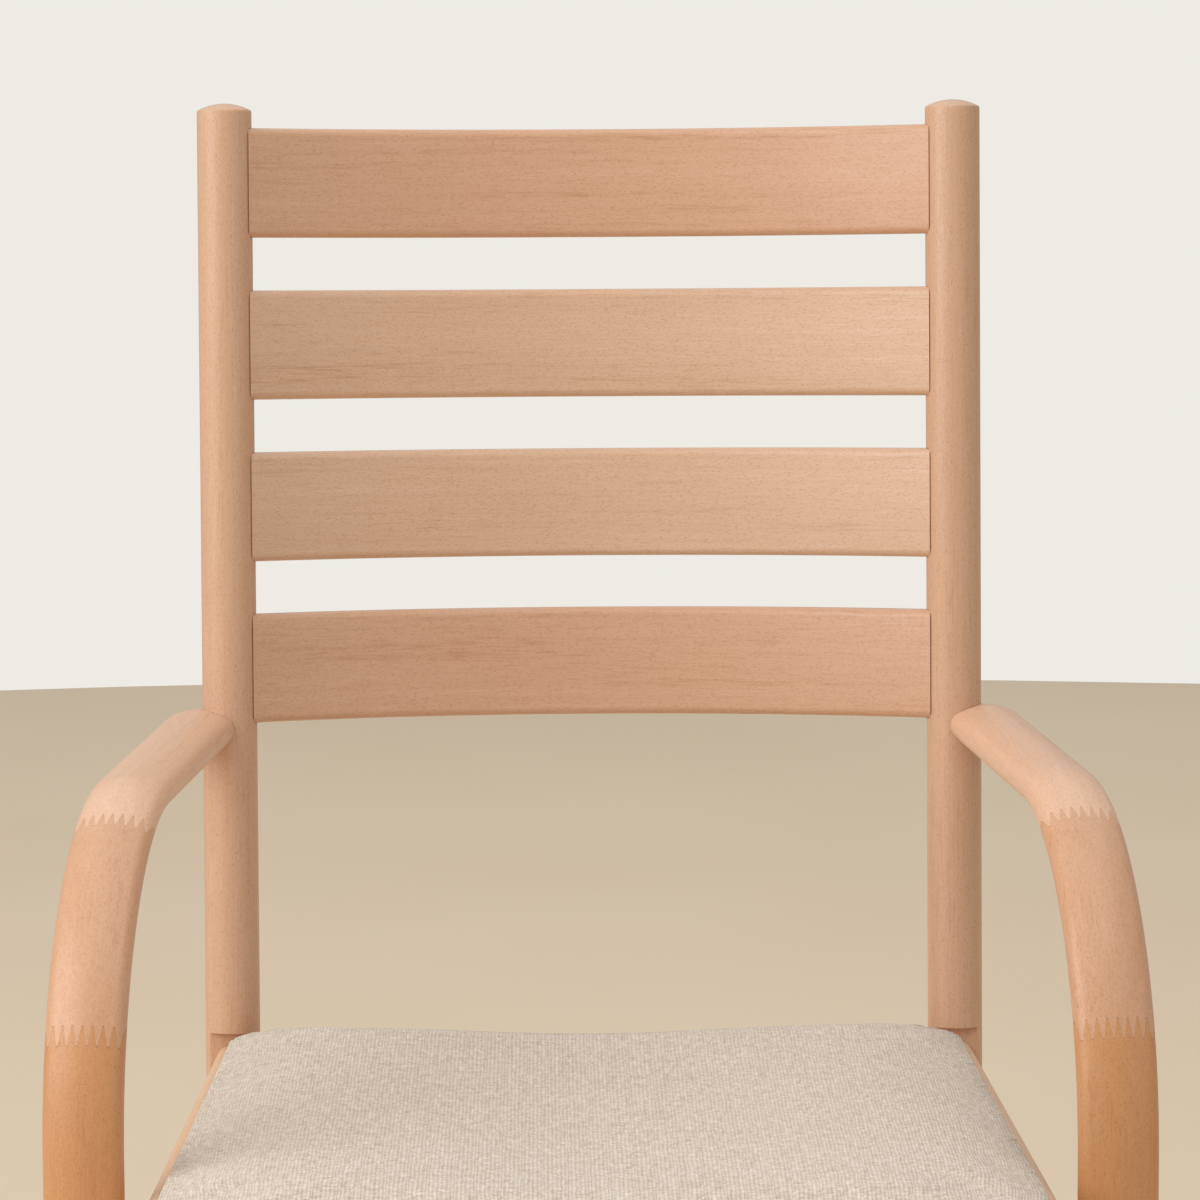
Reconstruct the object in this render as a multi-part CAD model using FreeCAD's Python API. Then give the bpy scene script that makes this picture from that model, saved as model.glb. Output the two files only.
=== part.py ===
"""Wooden armchair with a ladder back and an upholstered seat.

The chair stands on z = 0 and faces -Y. +X is on the right of someone who looks at its front,
and the names of the pieces use right and left in that sense.
It is first drawn with the back posts crossing the top of the seat rails on the line y = 0.
At the end every piece is moved along Y so that the origin is under the middle of its box.
All sizes are millimetres and degrees.
"""
import FreeCAD, Part
import math
import os

Vector = FreeCAD.Vector
UP = Vector(0, 0, 1)
ACROSS = Vector(1, 0, 0)
ORIGIN = Vector(0, 0, 0)

# Seat frame
rail_top = 421.0
rail_height = 48.0
rail_thickness = 20.0
rail_edge_radius = 5.0
frame_outset = 7.5
frame_splay = 2.35
frame_front = 440.0
rear_rail_stand_off = 23.0

# Back posts
post_diameter = 30.0
post_spacing = 400.0
back_lean = 4.6
rear_rake = 7.0
bend_drop = 91.0
bend_radius = 200.0
post_length_above_seat = 514.5
post_dome = 4.0
post_edge_break = 1.0
housing_depth = 6.0
housing_reveal = 7.0
inner_flat_depth = 1.0

# Back slats
slat_count = 4
slat_height = 60.0
slat_thickness = 13.0
slat_edge_radius = 4.5
slat_radius = 370.0
slat_pitch = 89.0
top_slat_drop = 9.5
tenon_thickness = 7.0
tenon_shoulder = 8.0
tenon_length = 9.0

# Rail between the back posts
back_rail_drop = 2.0
back_rail_tenon_length = 6.5
back_rail_tenon_height = 30.0

# Arms and front legs, one continuous flat oval bar in a vertical plane
arm_rise = 175.0
arm_width = 40.0
arm_thickness = 21.0
arm_side_radius = 8.0
arm_stand_off = 0.5
arm_splay = 5.6
arm_bend_radius = 158.0
arm_end_inset = 1.0
leg_setback = 77.9
finger_angles = (22.5, 67.5)
finger_length = 10.0
finger_pitch = 5.0
finger_tip = 0.8

# Cross rail that ties the front legs under the seat frame
cross_rail_height = 45.0
cross_rail_thickness = 22.0

# Seat
seat_thickness = 20.0
seat_gap = 0.3
seat_margin = 9.5
seat_rear = 24.0
seat_overhang = 6.0
seat_rear_corner = 32.0
seat_front_corner = 38.0
seat_top_radius = 9.0
cover_thickness = 1.0
board_thickness = 7.0
hem_width = 36.0
dust_cover_thickness = 0.8

# Corner blocks and fasteners
block_leg = 55.0
block_height = 32.0
block_drop = 1.0
fit_clearance = 0.1
dowel_diameter = 8.0
dowel_in_side_rail = 12.0
dowel_in_cross_piece = 24.0
dowel_spread = 28.0
leg_dowel_diameter = 10.0
leg_dowel_in_leg = 16.0
leg_dowel_in_rail = 11.0
leg_dowel_spread = 22.0
bolt_diameter = 6.0
bolt_head_diameter = 14.0
bolt_head_height = 3.2
bolt_seat_depth = 3.0
bolt_spread = 26.0
bolt_reach = 25.0
nut_diameter = 10.0
nut_reach = 22.0
screw_diameter = 4.0
screw_head_diameter = 8.0
screw_head_height = 3.0
block_screw_offset = 30.0
block_screw_land = 12.0
block_screw_bite = 12.0
seat_screw_offset = 18.0
seat_screw_bite = 5.0
frame_screw_diameter = 5.0
frame_screw_bite = 30.0
frame_screw_counterbore = 15.0
arm_screw_diameter = 5.0
arm_screw_bite = 16.0
plug_diameter = 10.0
plug_length = 7.0
glide_diameter = 17.0
glide_thickness = 3.0
glide_stem_diameter = 6.0
glide_stem_length = 12.0
staple_crown = 10.0
staple_wire = 0.7
staple_length = 5.0
staple_inset = 31.0
staples_per_side = 4

# Worked out from the sizes above
post_radius = post_diameter / 2
post_x = post_spacing / 2
lean = math.radians(back_lean)
splay = math.radians(frame_splay)
turn = math.radians(arm_splay)
frame_half_width = post_x + frame_outset
seat_height = rail_top + seat_thickness
bend_height = rail_top - bend_drop
rail_bottom = rail_top - rail_height
rail_middle = rail_top - rail_height / 2
shoulder_x = post_x - post_radius + inner_flat_depth
housing_y = housing_depth - post_radius
rear_rail_back = rear_rail_stand_off - housing_y
rear_rail_front = rear_rail_back + rail_thickness
front_rail_back = frame_front - rail_thickness
arm_height = rail_top + arm_rise
arm_x = post_x + post_radius + arm_stand_off
arm_post_y = arm_rise * math.tan(lean)
leg_y = leg_setback - frame_front
leg_ahead = (arm_post_y - leg_y) / math.cos(turn)
leg_x = arm_x + leg_ahead * math.sin(turn)
arm_straight = leg_ahead - arm_bend_radius
arm_end_overhang = post_radius - arm_end_inset
seat_bottom = rail_top + seat_gap
board_bottom = seat_bottom + cover_thickness
board_top = board_bottom + board_thickness


def rounded_wire(points, radii):
    """Closed flat outline through the points, with each corner rounded to its radius."""
    edges = []
    starts = []
    ends = []
    middles = []
    count = len(points)
    for index, corner in enumerate(points):
        to_last = (points[index - 1] - corner).normalize()
        to_next = (points[(index + 1) % count] - corner).normalize()
        half = to_last.getAngle(to_next) / 2
        reach = radii[index] / math.tan(half)
        bisector = (to_last + to_next).normalize()
        starts.append(corner + to_last * reach)
        ends.append(corner + to_next * reach)
        middles.append(corner + bisector * (radii[index] / math.sin(half) - radii[index]))
    for index in range(count):
        if radii[index] > 0:
            edges.append(Part.Arc(starts[index], middles[index], ends[index]).toShape())
        edges.append(Part.makeLine(ends[index], starts[(index + 1) % count]))
    return Part.Wire(edges)


def rounded_face(points, radii):
    """Flat face inside a rounded outline."""
    return Part.Face(rounded_wire(points, radii))


def box_between(low, high):
    """Box from its lowest corner to its highest corner."""
    size = high - low
    return Part.makeBox(size.x, size.y, size.z, low)


def rod(start, direction, length, diameter):
    """Round rod from a point along a direction."""
    return Part.makeCylinder(diameter / 2, length, start, direction)


def mirrored(shape):
    """The same piece on the other side of the chair."""
    return shape.mirror(ORIGIN, ACROSS)


def both_sides(shape):
    """A piece and its mirror image."""
    return [shape, mirrored(shape)]


def leaned(shape):
    """Tilt a piece of the upright back to the lean of the back posts."""
    return shape.rotated(Vector(0, 0, rail_top), ACROSS, -back_lean)


def outer_face_x(ahead):
    """Distance from the middle of the chair to the side rail's outer face."""
    return frame_half_width + ahead * math.tan(splay)


def inner_face_x(ahead):
    """Distance from the middle of the chair to the side rail's inner face."""
    return outer_face_x(ahead) - rail_thickness / math.cos(splay)


# Back posts and slats, drawn upright with heights measured from the rail top

def post_rod():
    """Bent round rod with a domed top: straight above the seat, raked back below it."""
    axis_x = post_x
    bend_angle = back_lean + rear_rake
    tangent = bend_radius * math.tan(math.radians(bend_angle) / 2)
    bend_start = bend_height + tangent
    top = rail_top + post_length_above_seat
    crown = (post_radius ** 2 + post_dome ** 2) / (2 * post_dome)
    rim = post_radius - post_edge_break
    rim_height = top + math.sqrt(crown ** 2 - rim ** 2) - (crown - post_dome)
    half_rim = rim / 2
    half_height = top + math.sqrt(crown ** 2 - half_rim ** 2) - (crown - post_dome)
    foot = Vector(axis_x, 0, bend_start)
    side = Vector(axis_x + post_radius, 0, bend_start)
    shoulder = Vector(axis_x + post_radius, 0, top - post_edge_break)
    break_end = Vector(axis_x + rim, 0, rim_height)
    mid = Vector(axis_x + half_rim, 0, half_height)
    tip = Vector(axis_x, 0, top + post_dome)
    outline = [
        Part.makeLine(foot, side),
        Part.makeLine(side, shoulder),
        Part.makeLine(shoulder, break_end),
        Part.Arc(break_end, mid, tip).toShape(),
        Part.makeLine(tip, foot),
    ]
    upper = Part.Face(Part.Wire(outline)).revolve(foot, UP, 360)
    circle = Part.Face(Part.Wire(Part.makeCircle(post_radius, foot, UP)))
    pivot = foot + Vector(0, bend_radius, 0)
    bend = circle.revolve(pivot, ACROSS, bend_angle)
    lower_circle = circle.rotated(pivot, ACROSS, bend_angle)
    angle = math.radians(bend_angle)
    direction = Vector(0, math.sin(angle), -math.cos(angle))
    lower = lower_circle.extrude(direction * (bend_height * 1.2))
    return upper.fuse([bend, lower])


def slat_start(index):
    """Height of the lower edge of one slat above the floor, on the upright back."""
    top_slat = rail_top + post_length_above_seat - top_slat_drop - slat_height
    return top_slat - (slat_count - 1 - index) * slat_pitch


def slat_arc(index, thickness, height, edge, reach):
    """Curved bar: a rounded rectangle turned about an upright axis in front of the back."""
    middle = slat_start(index) + slat_height / 2
    centre_y = -math.sqrt(slat_radius ** 2 - shoulder_x ** 2)
    half_t = thickness / 2
    half_h = height / 2
    bar_y = centre_y + slat_radius
    corners = [
        Vector(0, bar_y - half_t, middle - half_h),
        Vector(0, bar_y + half_t, middle - half_h),
        Vector(0, bar_y + half_t, middle + half_h),
        Vector(0, bar_y - half_t, middle + half_h),
    ]
    section = rounded_face(corners, [edge] * 4)
    pivot = Vector(0, centre_y, 0)
    swing = math.degrees(math.asin((reach + slat_thickness) / slat_radius))
    bar = section.rotated(pivot, UP, -swing).revolve(pivot, UP, 2 * swing)
    depth = slat_radius + slat_thickness
    window = box_between(Vector(-reach, -depth, middle - height),
                         Vector(reach, depth, middle + height))
    return bar.common(window)


def slat_tenons(index, clearance):
    """The thinner bar that runs into both posts, grown by a clearance for the mortises."""
    height = slat_height - 2 * tenon_shoulder + 2 * clearance
    thickness = tenon_thickness + 2 * clearance
    return slat_arc(index, thickness, height, tenon_thickness / 4, shoulder_x + tenon_length + clearance)


def back_rail_body(reach, height, thickness):
    """Plain rail between the posts, drawn with the upright back."""
    middle = rail_middle - back_rail_drop
    return box_between(Vector(-reach, -thickness / 2, middle - height / 2),
                       Vector(reach, thickness / 2, middle + height / 2))


def back_rail_tenons(clearance):
    """Stub tenons on the rail between the posts."""
    return back_rail_body(shoulder_x + back_rail_tenon_length + clearance,
                          back_rail_tenon_height + 2 * clearance,
                          tenon_thickness + 2 * clearance)


def post_inner_flat(low, high):
    """Shallow flat on the inner face of a post where a cross piece meets it."""
    return box_between(Vector(shoulder_x - post_radius, -post_radius, low),
                       Vector(shoulder_x, post_radius, high))


def post_housing():
    """Flat housing across the front of a post for the end of the side rail."""
    return box_between(Vector(post_x - post_radius, -2 * post_radius, rail_bottom - housing_reveal),
                       Vector(post_x + post_radius, housing_y, rail_top + housing_reveal))


def upright_post():
    """Post with its flats and housing, before any mortise or hole."""
    cuts = [post_housing()]
    for index in range(slat_count):
        start = slat_start(index)
        cuts.append(post_inner_flat(start - fit_clearance, start + slat_height + fit_clearance))
    cuts.append(post_inner_flat(rail_bottom - back_rail_drop - fit_clearance,
                                rail_top - back_rail_drop + fit_clearance))
    return post_rod().cut(cuts)


# Arm, corner and front leg

def oval_face(centre):
    """Flat oval of four arcs, wide across X and thin along Z, round a centre."""
    half_w = arm_width / 2
    half_t = arm_thickness / 2
    side = arm_side_radius
    reach = half_w - side
    crown = (reach ** 2 + half_t ** 2 - side ** 2) / (2 * (half_t - side))
    slope = math.hypot(reach, crown - half_t)
    join_x = reach * crown / slope
    join_z = (crown - half_t) * (crown / slope - 1)

    def spot(x, z):
        return centre + Vector(x, 0, z)

    return Part.Face(Part.Wire([
        Part.Arc(spot(join_x, -join_z), spot(half_w, 0), spot(join_x, join_z)).toShape(),
        Part.Arc(spot(join_x, join_z), spot(0, half_t), spot(-join_x, join_z)).toShape(),
        Part.Arc(spot(-join_x, join_z), spot(-half_w, 0), spot(-join_x, -join_z)).toShape(),
        Part.Arc(spot(-join_x, -join_z), spot(0, -half_t), spot(join_x, -join_z)).toShape(),
    ]))


def arm_placed(shape):
    """Turn a piece drawn straight ahead to the arm's splay and set it beside the post."""
    placed = shape.rotated(ORIGIN, UP, arm_splay)
    return placed.translated(Vector(arm_x, arm_post_y, 0))


def arm_bar():
    """The whole bar: rounded rear end, straight arm, quarter bend and upright leg."""
    end_ahead = arm_width / 2 - arm_end_overhang
    end = Vector(0, -end_ahead, arm_height)
    section = oval_face(end)
    window = box_between(end - Vector(0, 1, arm_thickness), end + Vector(arm_width, 1, arm_thickness))
    rear = section.common(window).revolve(end, UP, 180)
    straight = section.extrude(Vector(0, end_ahead - arm_straight, 0))
    bend_start = Vector(0, -arm_straight, arm_height)
    pivot = bend_start - UP * arm_bend_radius
    bend_face = oval_face(bend_start)
    bend = bend_face.revolve(pivot, ACROSS, 90)
    leg_face = bend_face.rotated(pivot, ACROSS, 90)
    leg = leg_face.extrude(-UP * (arm_height - arm_bend_radius - glide_thickness))
    return rear.fuse([straight, bend, leg])


def finger_tool(angle):
    """Everything past a finger joint: its near side is a row of blunt teeth across the bar."""
    teeth = int(math.ceil(arm_width / finger_pitch / 2)) * 2 + 2
    left = -teeth * finger_pitch / 2
    half = finger_length / 2
    flat = finger_tip / 2
    far = arm_height + leg_ahead
    points = []
    for tooth in range(teeth):
        valley = left + tooth * finger_pitch
        peak = valley + finger_pitch / 2
        points.append(Vector(valley - flat, half, 0))
        points.append(Vector(valley + flat, half, 0))
        points.append(Vector(peak - flat, -half, 0))
        points.append(Vector(peak + flat, -half, 0))
    right = left + teeth * finger_pitch
    points.append(Vector(right - flat, half, 0))
    points.append(Vector(right, -far, 0))
    points.append(Vector(left - flat, -far, 0))
    points.append(points[0])
    block = Part.Face(Part.makePolygon(points)).extrude(UP * (far + arm_thickness))
    block.translate(-UP * far)
    block.rotate(ORIGIN, ACROSS, angle)
    turned = math.radians(angle)
    ahead = arm_straight + arm_bend_radius * math.sin(turned)
    height = arm_height - arm_bend_radius * (1 - math.cos(turned))
    block.translate(Vector(0, -ahead, height))
    return block


def arm_pieces(bar):
    """Split the bar at its two finger joints into arm, corner and leg."""
    first, second = [finger_tool(angle) for angle in finger_angles]
    rail = bar.cut(first)
    rest = bar.common(first)
    return [arm_placed(piece) for piece in (rail, rest.cut(second), rest.common(second))]


# Seat frame

def along_rail(ahead, sideways, height):
    """Point measured along the right side rail's middle line from the back posts."""
    middle = frame_half_width - rail_thickness / 2 / math.cos(splay)
    x = middle + ahead * math.tan(splay) + sideways * math.cos(splay)
    return Vector(x, -ahead + sideways * math.sin(splay), height)


def rail_direction():
    """Direction of the right side rail towards the front."""
    return Vector(math.sin(splay), -math.cos(splay), 0)


def side_rail_body():
    """Side rail with a round upper outer edge, cut square to the post and the front."""
    start = -post_radius
    half = rail_thickness / 2
    corners = [
        along_rail(start, half, rail_bottom),
        along_rail(start, half, rail_top),
        along_rail(start, -half, rail_top),
        along_rail(start, -half, rail_bottom),
    ]
    soft = rail_edge_radius / 2
    section = rounded_face(corners, [soft, rail_edge_radius, soft, soft])
    body = section.extrude(rail_direction() * (frame_front + 3 * post_radius))
    wide = 2 * frame_half_width
    front = box_between(Vector(0, -2 * frame_front, 0), Vector(wide, -frame_front, 2 * rail_top))
    behind = leaned(box_between(Vector(0, housing_y, 0), Vector(wide, wide, 2 * rail_top)))
    return body.cut([front, behind])


def cross_piece(near, far):
    """Rail of the seat frame that fits between the side rails, from near to far ahead."""
    outline = [
        Vector(inner_face_x(near), -near, rail_bottom),
        Vector(inner_face_x(far), -far, rail_bottom),
        Vector(-inner_face_x(far), -far, rail_bottom),
        Vector(-inner_face_x(near), -near, rail_bottom),
    ]
    return rounded_face(outline, [0, 0, 0, 0]).extrude(UP * rail_height)


def corner_block(near, step):
    """Block in the corner of the frame: near is the cross piece's face, step points inwards."""
    bottom = rail_top - block_drop - block_height
    far = near + step * block_leg
    outline = [
        Vector(inner_face_x(near), -near, bottom),
        Vector(inner_face_x(far), -far, bottom),
        Vector(inner_face_x(near) - block_leg, -near, bottom),
    ]
    return rounded_face(outline, [0, 0, 0]).extrude(UP * block_height)


def screw_solid(start, direction, length, diameter):
    """Screw with a flat cylinder head, its head's top at the start."""
    head = rod(start, direction, screw_head_height, screw_head_diameter)
    shank = rod(start, direction, length, diameter)
    return head.fuse(shank)


def block_screws_at(near, step):
    """Two screws through one corner block, each with the counterbore over its head."""
    length = screw_head_height + block_screw_land + block_screw_bite
    bottom = rail_top - block_drop - block_height
    along = near + step * block_screw_offset
    into_side = Vector(math.cos(splay), math.sin(splay), 0)
    face = Vector(inner_face_x(along), -along, bottom + block_height / 3)
    start = face - into_side * (block_screw_land + screw_head_height)
    into_cross = Vector(0, step, 0)
    other_face = Vector(inner_face_x(near) - block_screw_offset, -near, bottom + block_height * 2 / 3)
    other = other_face - into_cross * (block_screw_land + screw_head_height)
    screws = []
    bores = []
    for place, direction in ((start, into_side), (other, into_cross)):
        screws.append(screw_solid(place, direction, length, screw_diameter))
        bores.append(rod(place, -direction, block_leg, screw_head_diameter))
    return screws, bores


def seat_screw_at(near, step):
    """Screw up through one corner block into the seat board."""
    along = near + step * seat_screw_offset
    bottom = rail_top - block_drop - block_height
    start = Vector(inner_face_x(along) - seat_screw_offset, -along, bottom)
    return screw_solid(start, UP, board_bottom + seat_screw_bite - bottom, screw_diameter)


def frame_dowels(ahead):
    """Two dowels between a side rail and a cross piece whose middle lies ahead of the posts."""
    outward = Vector(math.cos(splay), math.sin(splay), 0)
    face = Vector(inner_face_x(ahead), -ahead, 0)
    dowels = []
    for height in (rail_middle - dowel_spread / 2, rail_middle + dowel_spread / 2):
        start = face + UP * height - outward * dowel_in_cross_piece
        dowels.append(rod(start, outward, dowel_in_cross_piece + dowel_in_side_rail, dowel_diameter))
    return dowels


def rail_bolts():
    """Bolts from behind a post into a side rail, with their barrel nuts and head recesses."""
    bolts = []
    nuts = []
    recesses = []
    forward = rail_direction()
    for height in (rail_middle - bolt_spread / 2, rail_middle + bolt_spread / 2):
        post_y = (height - rail_top) * math.tan(lean)
        seat_y = post_y + post_radius - bolt_seat_depth
        seat = along_rail(-seat_y, 0, height)
        head = rod(seat, -forward, bolt_head_height, bolt_head_diameter)
        reach = (seat_y + bolt_reach - housing_y) / math.cos(splay)
        bolts.append(head.fuse(rod(seat, forward, reach, bolt_diameter)))
        recesses.append(rod(seat, -forward, post_radius, bolt_head_diameter + 2 * fit_clearance))
        across = Vector(math.cos(splay), math.sin(splay), 0)
        middle = along_rail(nut_reach - housing_y, 0, height)
        half = rail_thickness / 2 - 1
        nuts.append(rod(middle - across * half, across, 2 * half, nut_diameter))
    return bolts, nuts, recesses


def leg_dowels():
    """Dowels between a front leg and the cross rail under the seat frame."""
    middle = rail_bottom - cross_rail_height / 2
    start_x = leg_x - arm_width / 2 - leg_dowel_in_rail
    length = leg_dowel_in_rail + leg_dowel_in_leg
    dowels = []
    for height in (middle - leg_dowel_spread / 2, middle + leg_dowel_spread / 2):
        dowels.append(rod(Vector(start_x, leg_y, height), ACROSS, length, leg_dowel_diameter))
    return dowels


def frame_screw():
    """Screw up through the cross rail into a side rail, and the bore that takes its head."""
    place = along_rail(-leg_y, 0, rail_bottom - cross_rail_height)
    start = place + UP * frame_screw_counterbore
    length = cross_rail_height - frame_screw_counterbore + frame_screw_bite
    screw = screw_solid(start, UP, length, frame_screw_diameter)
    return screw, rod(place, UP, frame_screw_counterbore, screw_head_diameter)


# Arm to post fixing

def arm_fixing(bar):
    """Screw from the arm's outer side into the post, with a wood plug flush over its head."""
    outer = arm_x + arm_width / 2 / math.cos(turn)
    head_top = outer - plug_length
    start = Vector(head_top, arm_post_y, arm_height)
    length = head_top - (post_x + post_radius) + arm_screw_bite
    screw = screw_solid(start, -ACROSS, length, arm_screw_diameter)
    plug_bore = rod(start, ACROSS, 2 * plug_length, plug_diameter)
    return screw, plug_bore, plug_bore.common(arm_placed(bar))


# Upholstered seat

def seat_face(inset, height):
    """Plan outline of the seat with round corners, moved inwards by an inset."""
    rear = seat_rear + inset
    front = frame_front + seat_overhang - inset
    margin = seat_margin + inset
    rear_x = outer_face_x(rear) - margin
    front_x = outer_face_x(front) - margin
    outline = [
        Vector(rear_x, -rear, height),
        Vector(front_x, -front, height),
        Vector(-front_x, -front, height),
        Vector(-rear_x, -rear, height),
    ]
    rear_corner = max(seat_rear_corner - inset, seat_top_radius)
    front_corner = max(seat_front_corner - inset, seat_top_radius)
    return rounded_face(outline, [rear_corner, front_corner, front_corner, rear_corner])


def seat_block(inset, low, high, top_radius):
    """Closed cushion shape with its upper edge rounded."""
    block = seat_face(inset, low).extrude(UP * (high - low))
    rim = [edge for edge in block.Edges if edge.BoundBox.ZMin > high - 0.001]
    return block.makeFillet(top_radius, rim)


def staple_at(middle, direction):
    """Staple pointing up, with its crown under a point and along a direction."""
    half = staple_crown / 2
    angle = math.degrees(math.atan2(direction.y, direction.x))
    wire = staple_wire
    crown = box_between(Vector(-half, -wire / 2, -wire), Vector(half, wire / 2, 0))
    left = box_between(Vector(-half, -wire / 2, -wire), Vector(wire - half, wire / 2, staple_length))
    right = box_between(Vector(half - wire, -wire / 2, -wire), Vector(half, wire / 2, staple_length))
    staple = crown.fuse([left, right])
    staple.rotate(ORIGIN, UP, angle)
    staple.translate(middle)
    return staple


def cover_staples():
    """Staples spaced along the four straight sides of the hem."""
    rear = seat_rear + staple_inset
    front = frame_front + seat_overhang - staple_inset
    margin = seat_margin + staple_inset
    rear_x = outer_face_x(rear) - margin
    front_x = outer_face_x(front) - margin
    corners = [
        Vector(rear_x, -rear, seat_bottom),
        Vector(front_x, -front, seat_bottom),
        Vector(-front_x, -front, seat_bottom),
        Vector(-rear_x, -rear, seat_bottom),
    ]
    staples = []
    for index, corner in enumerate(corners):
        side = corners[(index + 1) % 4] - corner
        for step in range(staples_per_side):
            share = (step + 1) / (staples_per_side + 1)
            staples.append(staple_at(corner + side * share, side))
    return staples


# Feet

def post_foot():
    """Middle of a rear post's lower end, on top of its glide."""
    bend_y = (bend_height - rail_top) * math.tan(lean)
    drop = bend_height - glide_thickness
    return Vector(post_x, bend_y + drop * math.tan(math.radians(rear_rake)), glide_thickness)


def glide_at(top):
    """Round glide under a foot, with a stem up into the wood."""
    disc = rod(top - UP * glide_thickness, UP, glide_thickness, glide_diameter)
    stem = rod(top, UP, glide_stem_length, glide_stem_diameter)
    return disc.fuse(stem)


# Make every piece. Right hand pieces are drawn first and mirrored.

def build_chair():
    """All pieces by name, before they are moved to the common origin."""
    pieces = {}

    post_blank = leaned(upright_post())
    both_posts = both_sides(post_blank)
    floor = box_between(Vector(0, -frame_front, -frame_front),
                        Vector(2 * post_x, frame_front, glide_thickness))
    mortises = [leaned(slat_tenons(index, fit_clearance)) for index in range(slat_count)]
    mortises.append(leaned(back_rail_tenons(fit_clearance)))

    for index in range(slat_count):
        body = leaned(slat_arc(index, slat_thickness, slat_height, slat_edge_radius,
                               shoulder_x + inner_flat_depth))
        slat = body.cut(both_posts).fuse(leaned(slat_tenons(index, 0)))
        pieces["back_slat_%d" % (index + 1)] = slat

    back_rail = leaned(back_rail_body(shoulder_x + inner_flat_depth, rail_height, rail_thickness))
    pieces["back_rail"] = back_rail.cut(both_posts).fuse(leaned(back_rail_tenons(0)))

    bolts, nuts, recesses = rail_bolts()
    bar = arm_bar()
    arm_screw, plug_bore, plug = arm_fixing(bar)
    post_glide = glide_at(post_foot())
    post = post_blank.cut(mortises + bolts + recesses + [arm_screw, floor, post_glide])
    pieces["rear_post_right"] = post

    arm_rail, arm_corner, front_leg = arm_pieces(bar)
    leg_glide = glide_at(Vector(leg_x, leg_y, glide_thickness))
    pieces["arm_rail_right"] = arm_rail.cut([post_blank, arm_screw, plug_bore])
    pieces["arm_corner_right"] = arm_corner
    pieces["front_leg_right"] = front_leg.cut(leg_dowels() + [leg_glide])

    corners = {"rear": (rear_rail_front, 1), "front": (front_rail_back, -1)}
    dowels = frame_dowels(rear_rail_front - rail_thickness / 2)
    dowels += frame_dowels(frame_front - rail_thickness / 2)
    screw, screw_bore = frame_screw()

    block_screws = []
    seat_screws = []
    for name, (near, step) in corners.items():
        screws, bores = block_screws_at(near, step)
        seat_screw = seat_screw_at(near, step)
        block = corner_block(near, step).cut(screws + bores + [seat_screw])
        pieces["corner_block_%s_right" % name] = block
        block_screws += screws
        seat_screws.append(seat_screw)

    side_rail = side_rail_body().cut(dowels + bolts + nuts + block_screws + [screw])
    pieces["side_rail_right"] = side_rail

    for name in list(pieces):
        if name.endswith("_right"):
            pieces[name.replace("_right", "_left")] = mirrored(pieces[name])

    all_dowels = dowels + [mirrored(dowel) for dowel in dowels]
    all_block_screws = block_screws + [mirrored(item) for item in block_screws]
    all_seat_screws = seat_screws + [mirrored(item) for item in seat_screws]
    all_leg_dowels = leg_dowels() + [mirrored(dowel) for dowel in leg_dowels()]

    pieces["rear_rail"] = cross_piece(rear_rail_back, rear_rail_front).cut(all_dowels + all_block_screws)
    pieces["front_rail"] = cross_piece(front_rail_back, frame_front).cut(all_dowels + all_block_screws)

    cross = box_between(Vector(-leg_x, leg_y - cross_rail_thickness / 2, rail_bottom - cross_rail_height),
                        Vector(leg_x, leg_y + cross_rail_thickness / 2, rail_bottom))
    legs = both_sides(front_leg)
    cuts = legs + all_leg_dowels + both_sides(screw) + both_sides(screw_bore)
    pieces["front_cross_rail"] = cross.cut(cuts)

    staples = cover_staples()
    outer = seat_block(0, seat_bottom, seat_height, seat_top_radius)
    cavity = seat_block(cover_thickness, board_bottom, seat_height - cover_thickness,
                        seat_top_radius - cover_thickness)
    opening = seat_face(hem_width, seat_bottom - 1).extrude(UP * (1 + cover_thickness))
    wide = 2 * frame_front
    under_board = box_between(Vector(-wide, -wide, 0), Vector(wide, wide, board_top))
    fasteners = staples + all_seat_screws
    pieces["seat_cover"] = outer.cut([cavity, opening]).cut(fasteners)
    pieces["seat_board"] = cavity.common(under_board).cut(fasteners)
    pieces["seat_foam"] = cavity.cut(under_board)
    dust_low = board_bottom - dust_cover_thickness
    dust = seat_face(hem_width + cover_thickness, dust_low).extrude(UP * dust_cover_thickness)
    pieces["dust_cover"] = dust.cut(all_seat_screws)

    threaded_nuts = [nut.cut(bolts) for nut in nuts]
    groups = {
        "side_rail_bolts": bolts,
        "barrel_nuts": threaded_nuts,
        "arm_screws": [arm_screw],
        "arm_plugs": [plug],
        "frame_screws": [screw],
        "foot_glides": [post_glide, leg_glide],
        "rail_dowels": dowels,
        "leg_dowels": leg_dowels(),
        "block_screws": block_screws,
        "seat_screws": seat_screws,
    }
    for name, items in groups.items():
        solids = []
        for item in items:
            solids += both_sides(item)
        pieces[name] = Part.makeCompound(solids)
    pieces["cover_staples"] = Part.makeCompound(staples)
    return pieces


def cleaned(shape):
    """The shape's solids, with seams left by cutting and joining removed."""
    solids = [solid.removeSplitter() for solid in shape.Solids]
    if len(solids) == 1:
        return solids[0]
    return Part.makeCompound(solids)


def main():
    """Build the chair, move it over its origin and write one file for each piece."""
    pieces = {name: cleaned(shape) for name, shape in build_chair().items()}
    boxes = [shape.optimalBoundingBox(False) for shape in pieces.values()]
    middle_y = (min(box.YMin for box in boxes) + max(box.YMax for box in boxes)) / 2
    os.makedirs("parts", exist_ok=True)
    for name, shape in sorted(pieces.items()):
        shape.translate(Vector(0, -middle_y, 0))
        shape.exportStep("parts/%s.step" % name)
        print("%-26s solids %2d  volume %10.1f  valid %s"
              % (name, len(shape.Solids), shape.Volume, shape.isValid()))
    print("moved along Y by %.4f" % -middle_y)
    print("height %.2f" % max(box.ZMax for box in boxes))


main()
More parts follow.
